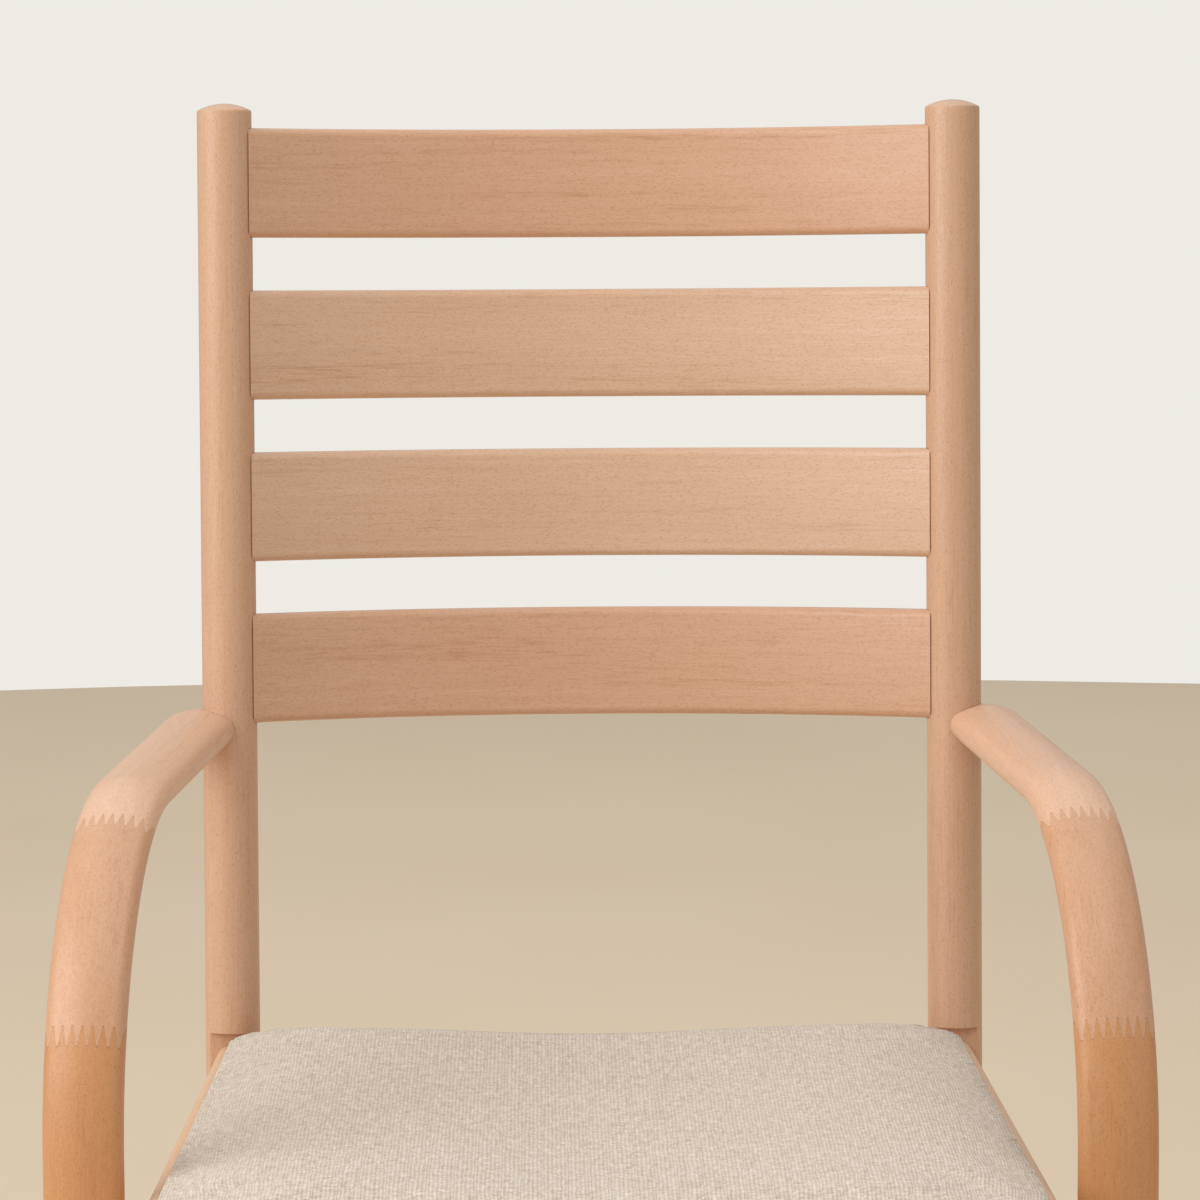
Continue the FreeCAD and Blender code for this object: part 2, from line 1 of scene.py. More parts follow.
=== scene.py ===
"""Looks of a wooden armchair with a ladder back and an upholstered seat, built around its frame.

Lengths are metres and angles are radians. The chair faces -Y and stands on z = 0. Pieces named
right are on the right of someone who looks at its front, at +X.
"""

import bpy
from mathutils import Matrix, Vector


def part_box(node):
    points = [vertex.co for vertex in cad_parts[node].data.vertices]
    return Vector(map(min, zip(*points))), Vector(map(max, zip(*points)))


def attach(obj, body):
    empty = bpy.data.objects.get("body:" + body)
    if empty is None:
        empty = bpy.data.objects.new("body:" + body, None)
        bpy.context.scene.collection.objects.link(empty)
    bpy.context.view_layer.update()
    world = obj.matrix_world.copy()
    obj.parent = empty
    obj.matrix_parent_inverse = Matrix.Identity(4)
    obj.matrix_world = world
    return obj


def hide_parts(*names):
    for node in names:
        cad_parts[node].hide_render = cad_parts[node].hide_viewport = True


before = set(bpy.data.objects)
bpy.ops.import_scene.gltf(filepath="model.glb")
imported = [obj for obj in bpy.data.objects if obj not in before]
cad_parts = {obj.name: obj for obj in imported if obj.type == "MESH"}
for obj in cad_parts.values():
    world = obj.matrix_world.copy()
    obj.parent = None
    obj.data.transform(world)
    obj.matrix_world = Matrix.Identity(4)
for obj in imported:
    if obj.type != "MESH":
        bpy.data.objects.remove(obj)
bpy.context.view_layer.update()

import math

import bmesh
import bpy
import numpy as np
from bpy.props import FloatProperty, FloatVectorProperty, IntProperty, PointerProperty
from mathutils import Matrix, Vector

bl_info = {
    "name": "Ladder-back armchair",
    "version": (1, 0, 0),
    "blender": (4, 5, 0),
    "location": "View3D > Sidebar > Armchair",
    "description": "Builds the wood, cushion, fittings and stage of a ladder-back armchair",
    "category": "Object",
}

SIDES = {"left": -1.0, "right": 1.0}
WELD = 2e-6
INTO_POST = 0.0004
SHARP_EDGE = 32.0
ONE_WAVE = 2.0 * math.pi / 20.0


def srgb(red, green, blue):
    """Linear colour from screen values of 0 to 255."""
    share = np.array([red, green, blue]) / 255.0
    return tuple(float(v) for v in np.where(share < 0.04045, share / 12.92,
                                            ((share + 0.055) / 1.055) ** 2.4))


def length(name, description, default):
    """A length that a user may change."""
    return FloatProperty(name=name, description=description, default=default, min=0.0,
                         unit="LENGTH", precision=4)


def angle(name, description, degrees):
    """An angle that a user may change."""
    return FloatProperty(name=name, description=description, default=math.radians(degrees),
                         subtype="ANGLE", unit="ROTATION")


def colour(name, description, red, green, blue):
    """A colour that a user may change."""
    return FloatVectorProperty(name=name, description=description, default=srgb(red, green, blue),
                               subtype="COLOR", min=0.0, max=1.0)


class ArmchairBack(bpy.types.PropertyGroup):
    """Sizes of the back posts and the slats between them."""

    lean: angle("Lean", "Lean of the back above the bend", 4.6)
    rake: angle("Rake", "Rake of the posts' lower ends", 7.0)
    bend_drop: length("Bend drop", "Middle of the bend below the top of the rails", 0.091)
    bend_radius: length("Bend radius", "Radius of the bend in each post", 0.2)
    post_length: length("Post length", "Length of a post above the rails", 0.5145)
    post_dome: length("Dome", "Height of the domed end of a post", 0.004)
    edge_break: length("Edge break", "Softened edge round the end of a post", 0.001)
    housing_depth: length("Housing depth", "Depth of the flat that takes the side rail", 0.006)
    housing_reveal: length("Housing reveal", "Flat left showing past the side rail", 0.007)
    flat_depth: length("Flat depth", "Depth of the flats that the slats butt on", 0.001)
    slat_count: IntProperty(name="Slats", description="How many slats the back has", default=4, min=1)
    slat_height: length("Slat height", "Height of a slat", 0.06)
    slat_thickness: length("Slat thickness", "Thickness of a slat", 0.013)
    slat_edge: length("Slat edge", "Radius of a slat's edges", 0.0045)
    slat_radius: length("Slat bow", "Radius of the slats' bow", 0.37)
    slat_pitch: length("Slat pitch", "Distance from one slat to the next", 0.089)
    top_slat_drop: length("Top slat drop", "Top slat below the end of the posts", 0.0095)


class ArmchairArms(bpy.types.PropertyGroup):
    """Sizes of the bar that makes an arm, its corner and a front leg."""

    rise: length("Rise", "Middle of the arm above the top of the rails", 0.175)
    width: length("Width", "Width of the flat oval bar", 0.04)
    thickness: length("Thickness", "Thickness of the flat oval bar", 0.021)
    side_radius: length("Side radius", "Radius of the bar's narrow sides", 0.008)
    stand_off: length("Stand-off", "Middle of the bar outside the surface of the post", 0.0005)
    bend_radius: length("Bend radius", "Radius of the corner", 0.158)
    end_inset: length("End inset", "Rear end of the arm short of the back of the post", 0.001)
    first_joint: angle("First joint", "Where the corner piece starts on the bend", 22.5)
    second_joint: angle("Second joint", "Where the corner piece ends on the bend", 67.5)
    finger_length: length("Finger length", "Length of a finger of the joints", 0.01)
    finger_pitch: length("Finger pitch", "Distance between fingers", 0.005)
    finger_tip: length("Finger tip", "Blunt end of a finger", 0.0008)
    joint_gap: length("Joint gap", "Half the glue line of a joint", 0.00006)
    fitting_gap: length("Fitting gap", "Dark line round the post and the plugs", 0.0003)
    plug_diameter: length("Plug diameter", "Diameter of the plug over the arm's screw", 0.01)


class ArmchairSeat(bpy.types.PropertyGroup):
    """Sizes of the seat frame and the cushion."""

    rail_thickness: length("Rail thickness", "Thickness of the frame's rails", 0.02)
    rail_edge: length("Rail edge", "Radius of the side rails' upper outer edge", 0.005)
    cross_edge: length("Cross rail edge", "Radius of the other rails' edges", 0.0022)
    rail_splay: angle("Splay", "How the side rails spread towards the front", 2.35)
    frame_outset: length("Frame outset", "Side rail's outer face outside the post's middle", 0.0075)
    margin: length("Margin", "Cushion short of the frame's outer face", 0.0095)
    rear_corner: length("Rear corner", "Radius of the cushion's rear corners", 0.032)
    front_corner: length("Front corner", "Radius of the cushion's front corners", 0.038)
    edge_roll: length("Edge roll", "Radius of the cushion's upper edge", 0.009)
    dish: length("Dish", "Depth of the hollow along the middle of the cushion", 0.0068)
    hump: length("Hump", "Where the cushion is highest, from the middle", 0.147)
    shoulder_fall: length("Shoulder fall", "Fall from the highest line to the side", 0.0032)
    hem: length("Hem", "Width of the cloth turned under the seat", 0.037)
    back_rail_drop: length("Back rail drop", "Rail between the posts below the side rails", 0.002)
    rib: length("Rib", "Distance between the ribs of the cloth", 0.0019)
    stitch: length("Stitch", "Distance between the threads along a rib", 0.0011)


class ArmchairColours(bpy.types.PropertyGroup):
    """Tones of the woods and of the cloth."""

    post: colour("Posts", "Beech of the posts", 208, 166, 134)
    slat: colour("Slats", "Beech of the top and lowest slats", 209, 164, 132)
    slat_pale: colour("Pale slats", "Beech of the middle slats", 214, 176, 146)
    arm: colour("Arms", "Beech of the arms", 225, 182, 151)
    corner: colour("Corners", "Beech of the corner pieces", 210, 161, 125)
    leg: colour("Legs", "Beech of the front legs", 203, 146, 97)
    rail: colour("Rails", "Beech of the seat frame", 228, 188, 150)
    block: colour("Blocks", "Unfinished wood of the corner blocks", 226, 190, 150)
    cloth: colour("Cloth", "Ground colour of the cloth", 214, 200, 184)
    cloth_light: colour("Light yarn", "Pale threads of the cloth", 238, 228, 214)
    cloth_dark: colour("Dark yarn", "Darker threads of the cloth", 184, 166, 147)


class ArmchairStage(bpy.types.PropertyGroup):
    """Camera, floor and light."""

    camera: FloatVectorProperty(name="Camera", description="Where the camera stands", subtype="XYZ",
                                unit="LENGTH", default=(-0.0254, -2.7793, 1.056))
    lens: FloatProperty(name="Lens", description="Focal length for a sensor 36 mm wide",
                        default=163.05, subtype="DISTANCE_CAMERA")
    pitch: angle("Pitch", "How far the camera looks down", 7.5)
    yaw: angle("Yaw", "How far the camera looks to the right", 0.58)
    roll: angle("Roll", "How far the camera is turned about its line of sight", -0.32)
    floor: colour("Floor", "Plain floor", 234, 215, 189)
    backdrop: colour("Backdrop", "Plain air behind the chair", 238, 235, 229)
    ambient: FloatProperty(name="Ambient", description="Light from all round", default=0.52, min=0.0)
    key: FloatProperty(name="Key light", description="Power of the large light on the left",
                       default=76.0, min=0.0, unit="POWER")
    fill: FloatProperty(name="Fill light", description="Power of the light on the right",
                        default=6.0, min=0.0, unit="POWER")
    top: FloatProperty(name="Top light", description="Power of the light overhead",
                       default=22.0, min=0.0, unit="POWER")
    rear: FloatProperty(name="Rear light", description="Power of the light over the floor behind",
                        default=30.0, min=0.0, unit="POWER")


GROUPS = {
    "armchair_back": ArmchairBack,
    "armchair_arms": ArmchairArms,
    "armchair_seat": ArmchairSeat,
    "armchair_colours": ArmchairColours,
    "armchair_stage": ArmchairStage,
}


# Places read from the frame

def middle_and_half(node, axis):
    """Middle and half the width of a node of the frame along one axis."""
    low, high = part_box(node)
    return (low[axis] + high[axis]) / 2, (high[axis] - low[axis]) / 2


class Places:
    """Main lines of the chair, from the boxes of the frame's nodes and the sizes."""

    def __init__(self, scene):
        back = scene.armchair_back
        arms = scene.armchair_arms
        seat = scene.armchair_seat
        glide_low, glide_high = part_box("foot_glides")
        rail_low, rail_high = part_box("side_rail_right")
        cushion_low, cushion_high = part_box("seat_cover")
        seat_rear = 0.024
        self.glide_radius = 0.0085
        self.glide_top = 0.003
        self.post_x, self.post_radius = middle_and_half("rear_post_right", 0)
        self.rail_top = rail_high.z
        self.rail_bottom = rail_low.z
        self.front_y = rail_low.y
        self.post_y = cushion_high.y + seat_rear
        self.cushion_low = cushion_low
        self.cushion_high = cushion_high
        self.foot_y = glide_high.y - self.glide_radius
        self.leg_x = glide_high.x - self.glide_radius
        self.leg_y = glide_low.y + self.glide_radius
        self.arm_z = self.rail_top + arms.rise
        self.arm_x = self.post_x + self.post_radius + arms.stand_off
        self.arm_y = self.post_y + arms.rise * math.tan(back.lean)
        self.leg_ahead = math.hypot(self.leg_x - self.arm_x, self.arm_y - self.leg_y)
        self.arm_turn = math.atan2(self.leg_x - self.arm_x, self.arm_y - self.leg_y)
        self.arm_straight = self.leg_ahead - arms.bend_radius
        self.shoulder_x = self.post_x - self.post_radius + back.flat_depth
        self.housing = self.post_radius - back.housing_depth
        self.frame_half = self.post_x + seat.frame_outset

    def outer_x(self, seat, y):
        """Distance from the middle to the side rail's outer face at a place along the chair."""
        return self.frame_half + (self.post_y - y) * math.tan(seat.rail_splay)


def leaned(points, places, lean):
    """Points of the upright back, heights from the rail top, turned to its lean and set in place."""
    across, depth, rise = np.moveaxis(points, -1, 0)
    y = depth * math.cos(lean) + rise * math.sin(lean) + places.post_y
    z = rise * math.cos(lean) - depth * math.sin(lean) + places.rail_top
    return np.stack([across, y, z], axis=-1)


# Meshes

def grid_faces(rows, columns, closed=False, start=0):
    """Quads of a grid numbered row by row: each joins two neighbours to the two in the next row."""
    row = np.arange(rows - 1)[:, None] * columns
    column = np.arange(columns if closed else columns - 1)[None, :]
    following = (column + 1) % columns
    quads = np.stack([row + column, row + following,
                      row + following + columns, row + column + columns], axis=-1)
    return (quads.reshape(-1, 4) + start).tolist()


def fan_faces(ring, pole, columns):
    """Triangles from a closed ring of points to one pole."""
    near = np.arange(columns) + ring
    far = (np.arange(columns) + 1) % columns + ring
    return np.stack([near, far, np.full(columns, pole)], axis=-1).tolist()


def tube(rings):
    """Points and faces of a closed skin: rings of points one after another, a pole at each end.

    A pole lies at the mean of its ring."""
    rows, columns = rings.shape[:2]
    points = np.concatenate([rings.reshape(-1, 3), rings[:1].mean(axis=1), rings[-1:].mean(axis=1)])
    count = rows * columns
    faces = grid_faces(rows, columns, closed=True)
    faces += fan_faces(0, count, columns)
    faces += fan_faces(count - columns, count + 1, columns)
    return points, faces


def joined(*skins):
    """Several skins as one set of points and faces."""
    points = []
    faces = []
    start = 0
    for skin_points, skin_faces in skins:
        points.append(skin_points)
        faces += [[corner + start for corner in face] for face in skin_faces]
        start += len(skin_points)
    return np.concatenate(points), faces


def mirrored(skin, side):
    """A skin drawn for the right side, put on one side by the sign of its X."""
    points, faces = skin
    return points * np.array([side, 1.0, 1.0]), faces


def new_object(name, skin, sharp=SHARP_EDGE, **attributes):
    """Object from a skin: doubles merged, faces turned outwards and edges past an angle kept sharp.

    Attributes are one number or one vector for each point of the skin."""
    points, faces = skin
    mesh = bpy.data.meshes.new(name)
    mesh.from_pydata(points.tolist(), [], faces)
    for key, values in attributes.items():
        kind, field = ("FLOAT_VECTOR", "vector") if values.ndim == 2 else ("FLOAT", "value")
        layer = mesh.attributes.new(key, kind, "POINT")
        layer.data.foreach_set(field, np.ascontiguousarray(values, dtype=np.float32).ravel())
    work = bmesh.new()
    work.from_mesh(mesh)
    bmesh.ops.remove_doubles(work, verts=work.verts, dist=WELD)
    bmesh.ops.dissolve_degenerate(work, edges=work.edges, dist=WELD)
    bmesh.ops.recalc_face_normals(work, faces=work.faces)
    work.to_mesh(mesh)
    work.free()
    mesh.shade_smooth()
    mesh.set_sharp_from_angle(angle=math.radians(sharp))
    piece = bpy.data.objects.new(name, mesh)
    bpy.context.scene.collection.objects.link(piece)
    return piece


def applied(piece):
    """Put a piece's modifiers into its mesh."""
    graph = bpy.context.evaluated_depsgraph_get()
    mesh = bpy.data.meshes.new_from_object(piece.evaluated_get(graph))
    piece.modifiers.clear()
    old = piece.data
    piece.data = mesh
    bpy.data.meshes.remove(old)
    mesh.name = piece.name


def cut_away(piece, skins, sharp=SHARP_EDGE):
    """Cut closed skins out of a piece."""
    cutter = new_object(piece.name + "_cutter", joined(*skins))
    cut = piece.modifiers.new("cut", "BOOLEAN")
    cut.operation = "DIFFERENCE"
    cut.solver = "EXACT"
    cut.object = cutter
    applied(piece)
    spare = cutter.data
    bpy.data.objects.remove(cutter)
    bpy.data.meshes.remove(spare)
    piece.data.set_sharp_from_angle(angle=math.radians(sharp))


def across_axes(direction):
    """Two unit vectors square to a direction and to each other."""
    direction = np.asarray(direction, dtype=float)
    helper = np.array([0.0, 0.0, 1.0]) if abs(direction[2]) < 0.9 else np.array([1.0, 0.0, 0.0])
    first = np.cross(helper, direction)
    first /= np.linalg.norm(first)
    return first, np.cross(direction, first)


def turned(profile, start, direction, corners=48, sides=0):
    """Skin of revolution: each point of a profile of (radius, distance, is_flat_sided) is a ring.

    The distance is measured along the direction from the start. A flat-sided ring is a regular
    polygon whose radius at an angle is its flat's distance over the cosine of the angle from it."""
    first, second = across_axes(direction)
    around = np.linspace(0.0, 2.0 * math.pi, corners, endpoint=False)
    rings = []
    for radius, distance, flat_sided in profile:
        reach = np.full(corners, radius)
        if flat_sided:
            step = 2.0 * math.pi / sides
            reach = radius / np.cos((around + step / 2) % step - step / 2)
        ring = np.asarray(start) + np.asarray(direction) * distance
        rings.append(ring + reach[:, None] * (np.cos(around)[:, None] * first
                                              + np.sin(around)[:, None] * second))
    return tube(np.array(rings))


def rod(start, direction, reach, radius, corners=64):
    """Plain closed cylinder."""
    return turned([(radius, 0.0, False), (radius, reach, False)], start, direction, corners)


def rounded_outline(points, radii, steps=6):
    """Closed plan outline through corner points, each turned by an arc of its own radius.

    An arc's centre lies on the corner's bisector and the arc is sampled at even angles."""
    corners = np.array(points, dtype=float)
    outline = []
    for index, corner in enumerate(corners):
        to_last = corners[index - 1] - corner
        to_next = corners[(index + 1) % len(corners)] - corner
        to_last /= np.linalg.norm(to_last)
        to_next /= np.linalg.norm(to_next)
        half = math.acos(float(np.clip(to_last @ to_next, -1.0, 1.0))) / 2
        bisector = (to_last + to_next) / np.linalg.norm(to_last + to_next)
        centre = corner + bisector * (radii[index] / math.sin(half))
        start = corner + to_last * (radii[index] / math.tan(half)) - centre
        end = corner + to_next * (radii[index] / math.tan(half)) - centre
        sweep = math.pi - 2 * half
        share = np.linspace(0.0, 1.0, steps + 1)[:, None]
        arc = (np.sin((1 - share) * sweep) * start + np.sin(share * sweep) * end) / math.sin(sweep)
        outline.append(centre + arc)
    return np.concatenate(outline)


def bar(outline, origin, axes, ends, ease=0.0008, rows=10):
    """Skin of a straight bar: an outline carried along a line between two cutting planes.

    Axes are the outline's two axes and the direction. Each end is a point and a normal. A point's
    distance along the bar is where its own line meets the plane, and at each end the outline is
    drawn in by a small ease."""
    first, second, along = [np.array(axis, dtype=float) for axis in axes]
    middle = outline.mean(axis=0)
    span = np.abs(outline - middle).max(axis=0)
    smaller = middle + (outline - middle) * (1.0 - ease / span)

    def reach(flat, end):
        base = np.array(origin) + flat[:, :1] * first + flat[:, 1:] * second
        place, normal = [np.array(part, dtype=float) for part in end]
        return base, ((place - base) @ normal) / (along @ normal)

    rings = []
    base, near = reach(outline, ends[0])
    far = reach(outline, ends[1])[1]
    small_base, small_near = reach(smaller, ends[0])
    small_far = reach(smaller, ends[1])[1]
    rings.append(small_base + small_near[:, None] * along)
    for share in np.linspace(0.0, 1.0, rows):
        distance = near + ease + (far - near - 2 * ease) * share
        rings.append(base + distance[:, None] * along)
    rings.append(small_base + small_far[:, None] * along)
    return tube(np.array(rings))


# Materials

def new_material(name):
    """Empty node material with its principled shader."""
    material = bpy.data.materials.new(name)
    material.use_nodes = True
    tree = material.node_tree
    shader = tree.nodes["Principled BSDF"]
    return material, tree, shader


def fill_inputs(tree, node, inputs):
    """Give a node its inputs. An input is a value or an output socket to link."""
    for key, value in inputs.items():
        socket = node.inputs[key]
        if isinstance(value, bpy.types.NodeSocket):
            tree.links.new(value, socket)
        else:
            socket.default_value = value


def add_node(tree, kind, inputs, **settings):
    """Node with its settings and inputs."""
    node = tree.nodes.new(kind)
    for key, value in settings.items():
        setattr(node, key, value)
    fill_inputs(tree, node, inputs)
    return node


def object_place(tree):
    """Coordinates of the object itself."""
    return add_node(tree, "ShaderNodeTexCoord", {}).outputs["Object"]


def named_values(tree, name, output="Vector"):
    """Values that the mesh carries under a name."""
    return add_node(tree, "ShaderNodeAttribute", {}, attribute_name=name).outputs[output]


def mapped(tree, vector, scale, rotation=(0.0, 0.0, 0.0), location=(0.0, 0.0, 0.0)):
    """Coordinates turned, scaled and moved."""
    return add_node(tree, "ShaderNodeMapping", {"Vector": vector, "Scale": scale,
                                                "Rotation": rotation, "Location": location}).outputs[0]


def maths(tree, operation, first, second=0.0, third=0.0):
    """Result of one sum on numbers or sockets."""
    return add_node(tree, "ShaderNodeMath", {0: first, 1: second, 2: third},
                    operation=operation).outputs[0]


def noise(tree, place, stretch, detail=3.0, roughness=0.55):
    """Soft random pattern from 0 to 1, with how many of its grains fit in a metre each way."""
    return add_node(tree, "ShaderNodeTexNoise",
                    {"Vector": mapped(tree, place, stretch), "Scale": 1.0, "Detail": detail,
                     "Roughness": roughness}).outputs["Fac"]


def waves(tree, place, scale, distortion, bands_direction, **inputs):
    """Bands from 0 to 1 across one axis."""
    return add_node(tree, "ShaderNodeTexWave",
                    {"Vector": place, "Scale": scale, "Distortion": distortion, **inputs},
                    bands_direction=bands_direction).outputs["Fac"]


def layered(tree, start, *layers):
    """A start value with patterns added, each taken about its middle and multiplied by a share."""
    level = start
    for pattern, share in layers:
        level = maths(tree, "MULTIPLY_ADD", maths(tree, "SUBTRACT", pattern, 0.5), share, level)
    return level


def ranged(tree, value, low, high, new_low=0.0, new_high=1.0):
    """Value moved from one range to another and held inside it."""
    return add_node(tree, "ShaderNodeMapRange", {"Value": value, "From Min": low, "From Max": high,
                                                 "To Min": new_low, "To Max": new_high}).outputs[0]


def mixed(tree, share, first, second):
    """Colour between two colours."""
    return add_node(tree, "ShaderNodeMix", {0: share, 6: first, 7: second},
                    data_type="RGBA").outputs[2]


def ramp(tree, value, stops):
    """Colour looked up from stops of (place, linear colour)."""
    node = add_node(tree, "ShaderNodeValToRGB", {"Fac": value})
    node.color_ramp.interpolation = "EASE"
    while len(node.color_ramp.elements) < len(stops):
        node.color_ramp.elements.new(0.5)
    for element, (place, tone) in zip(node.color_ramp.elements, stops):
        element.position = place
        element.color = (*tone, 1.0)
    return node.outputs[0]


def toned(tone, red, green, blue):
    """Colour with each of its parts multiplied."""
    return tuple(float(min(1.0, part * factor)) for part, factor in zip(tone, (red, green, blue)))


def bumped(tree, shader, height, strength, distance):
    """Small relief on a shader."""
    bump = add_node(tree, "ShaderNodeBump", {"Height": height, "Strength": strength,
                                             "Distance": distance})
    fill_inputs(tree, shader, {"Normal": bump.outputs[0]})


def beech(name, tone, along=(0.0, 0.0, 0.0), seed=0.0, attribute=None, glue=None, raw=False):
    """Beech: slow tone bands, growth rings, fine fibres and the short dark flecks of its rays.

    The coordinates are turned so that their X runs along the grain."""
    tone = tuple(tone)
    material, tree, shader = new_material(name)
    source = named_values(tree, attribute) if attribute else object_place(tree)
    start = (seed * 0.37, seed * 0.113, seed * 0.071)
    grain = mapped(tree, source, (1.0, 1.0, 1.0), along, start)
    bands = noise(tree, grain, (2.4, 38.0, 38.0), detail=2.0)
    streaks = noise(tree, grain, (9.0, 260.0, 260.0))
    fibres = noise(tree, grain, (45.0, 950.0, 950.0), roughness=0.65)
    swayed = mapped(tree, grain, (0.05, 1.0, 0.8), (0.5, 0.0, 0.0))
    rings = waves(tree, swayed, 46.0, 5.0, "Y", **{"Detail": 2.0, "Detail Scale": 0.45})
    rays = add_node(tree, "ShaderNodeTexVoronoi",
                    {"Vector": mapped(tree, grain, (430.0, 2300.0, 2300.0)), "Scale": 1.0,
                     "Randomness": 1.0})
    chosen = ranged(tree, rays.outputs["Color"], 0.35, 0.75)
    fleck = maths(tree, "MULTIPLY", ranged(tree, rays.outputs["Distance"], 0.5, 0.22), chosen)
    level = layered(tree, 0.5, (bands, 0.6), (streaks, 0.3), (fibres, 0.8), (rings, 0.07))
    paint = ramp(tree, level, [(0.1, toned(tone, 0.80, 0.70, 0.60)), (0.5, tone),
                               (0.9, toned(tone, 1.10, 1.16, 1.24))])
    ray_tone = (*toned(tone, 0.66, 0.48, 0.36), 1.0)
    paint = mixed(tree, maths(tree, "MULTIPLY", fleck, 0.62), paint, ray_tone)
    if glue:
        line = maths(tree, "MULTIPLY", named_values(tree, glue, "Fac"), 0.5)
        paint = mixed(tree, line, paint, (*toned(tone, 0.5, 0.36, 0.26), 1.0))
    low, high = (0.62, 0.8) if raw else (0.36, 0.56)
    fill_inputs(tree, shader, {"Base Color": paint,
                               "Roughness": ranged(tree, fibres, 0.25, 0.75, high, low)})
    if not raw:
        fill_inputs(tree, shader, {"Coat Weight": 0.3, "Coat Roughness": 0.34})
    relief = maths(tree, "MULTIPLY_ADD", fleck, -0.7, fibres)
    bumped(tree, shader, relief, 0.35 if raw else 0.16, 0.0003)
    return material


def seat_cloth(name, colours, seat):
    """Ribbed cloth: ribs along the seat, threads across them, yarn of mixed pale and dark tones, and
    painted shade in the grooves.
    """
    material, tree, shader = new_material(name)
    weave = named_values(tree, "weave")
    wander = noise(tree, weave, (60.0, 60.0, 60.0), detail=2.0)
    swing = add_node(tree, "ShaderNodeVectorMath", {0: wander, 1: (0.0016, 0.0011, 0.0)},
                     operation="MULTIPLY").outputs[0]
    thread = add_node(tree, "ShaderNodeVectorMath", {0: weave, 1: swing},
                      operation="ADD").outputs[0]
    per_rib = 1.0 / seat.rib
    per_stitch = 1.0 / seat.stitch
    ribs = waves(tree, thread, ONE_WAVE * per_rib, 0.6, "X", Detail=2.0)
    stitches = waves(tree, thread, ONE_WAVE * per_stitch, 1.6, "Y", Detail=2.0)
    yarn = add_node(tree, "ShaderNodeTexVoronoi",
                    {"Vector": mapped(tree, thread, (per_rib, per_stitch * 0.8, 1.0)), "Scale": 1.0,
                     "Randomness": 0.75}, voronoi_dimensions="2D").outputs["Color"]
    slub = noise(tree, thread, (420.0, 90.0, 1.0))
    fuzz = noise(tree, thread, (2600.0, 2600.0, 2600.0), detail=2.0)
    patches = noise(tree, thread, (14.0, 14.0, 14.0), detail=2.0)
    height = maths(tree, "MULTIPLY_ADD", ribs, 0.55, maths(tree, "MULTIPLY", stitches, 0.45))
    # The relief height also goes into the colour: painted shade, darker in the grooves between ribs and
    # between threads.
    level = layered(tree, 0.5, (yarn, 0.55), (height, 0.4), (slub, 0.7), (fuzz, 0.5), (patches, 0.12))
    paint = ramp(tree, level, [(0.12, tuple(colours.cloth_dark)), (0.5, tuple(colours.cloth)),
                               (0.88, tuple(colours.cloth_light))])
    fill_inputs(tree, shader, {"Base Color": paint, "Roughness": 0.92, "Specular IOR Level": 0.2,
                               "Sheen Weight": 0.25, "Sheen Roughness": 0.5})
    bumped(tree, shader, maths(tree, "MULTIPLY_ADD", fuzz, 0.35, height), 0.55, 0.0005)
    return material


def metal(name, tone, roughness):
    """Plated steel with faint clouding and turning marks."""
    material, tree, shader = new_material(name)
    place = object_place(tree)
    cloud = noise(tree, place, (260.0, 260.0, 260.0), detail=4.0)
    scratch = noise(tree, place, (300.0, 4200.0, 4200.0), detail=2.0)
    paint = ramp(tree, cloud, [(0.3, toned(tone, 0.82, 0.83, 0.85)), (0.7, tone)])
    gloss = ranged(tree, cloud, 0.3, 0.7, roughness * 0.8, roughness * 1.3)
    fill_inputs(tree, shader, {"Base Color": paint, "Metallic": 1.0, "Roughness": gloss})
    bumped(tree, shader, scratch, 0.1, 0.0002)
    return material


def nylon(name, tone):
    """Moulded nylon with a fine sparked texture and a few scuffs."""
    material, tree, shader = new_material(name)
    place = object_place(tree)
    spark = noise(tree, place, (2400.0, 2400.0, 2400.0), detail=2.0)
    scuff = noise(tree, place, (160.0, 700.0, 160.0), detail=5.0, roughness=0.7)
    paint = ramp(tree, scuff, [(0.35, toned(tone, 0.8, 0.78, 0.74)), (0.62, tone)])
    fill_inputs(tree, shader, {"Base Color": paint,
                               "Roughness": ranged(tree, spark, 0.3, 0.7, 0.42, 0.6)})
    bumped(tree, shader, spark, 0.2, 0.0002)
    return material


def felted_cover(name, tone):
    """Spun cloth under the seat: matted fibres pressed into rows of small dimples, with painted shade in
    the dimples.
    """
    material, tree, shader = new_material(name)
    place = object_place(tree)
    fibres = noise(tree, place, (700.0, 1300.0, 700.0), detail=5.0, roughness=0.7)
    dimples = add_node(tree, "ShaderNodeTexVoronoi",
                       {"Vector": mapped(tree, place, (650.0, 650.0, 1.0), (0.0, 0.0, 0.78)),
                        "Scale": 1.0, "Randomness": 0.0}, voronoi_dimensions="2D").outputs["Distance"]
    pressed = ranged(tree, dimples, 0.2, 0.34)
    # Painted shade: the dimple hollows are darker in colour, mixed with the fibres' own tone.
    shade = maths(tree, "MULTIPLY_ADD", pressed, 0.45, maths(tree, "MULTIPLY", fibres, 0.55))
    paint = ramp(tree, shade, [(0.2, toned(tone, 0.6, 0.6, 0.6)), (0.8, toned(tone, 1.6, 1.6, 1.6))])
    fill_inputs(tree, shader, {"Base Color": paint, "Roughness": 0.88})
    bumped(tree, shader, shade, 0.5, 0.0004)
    return material


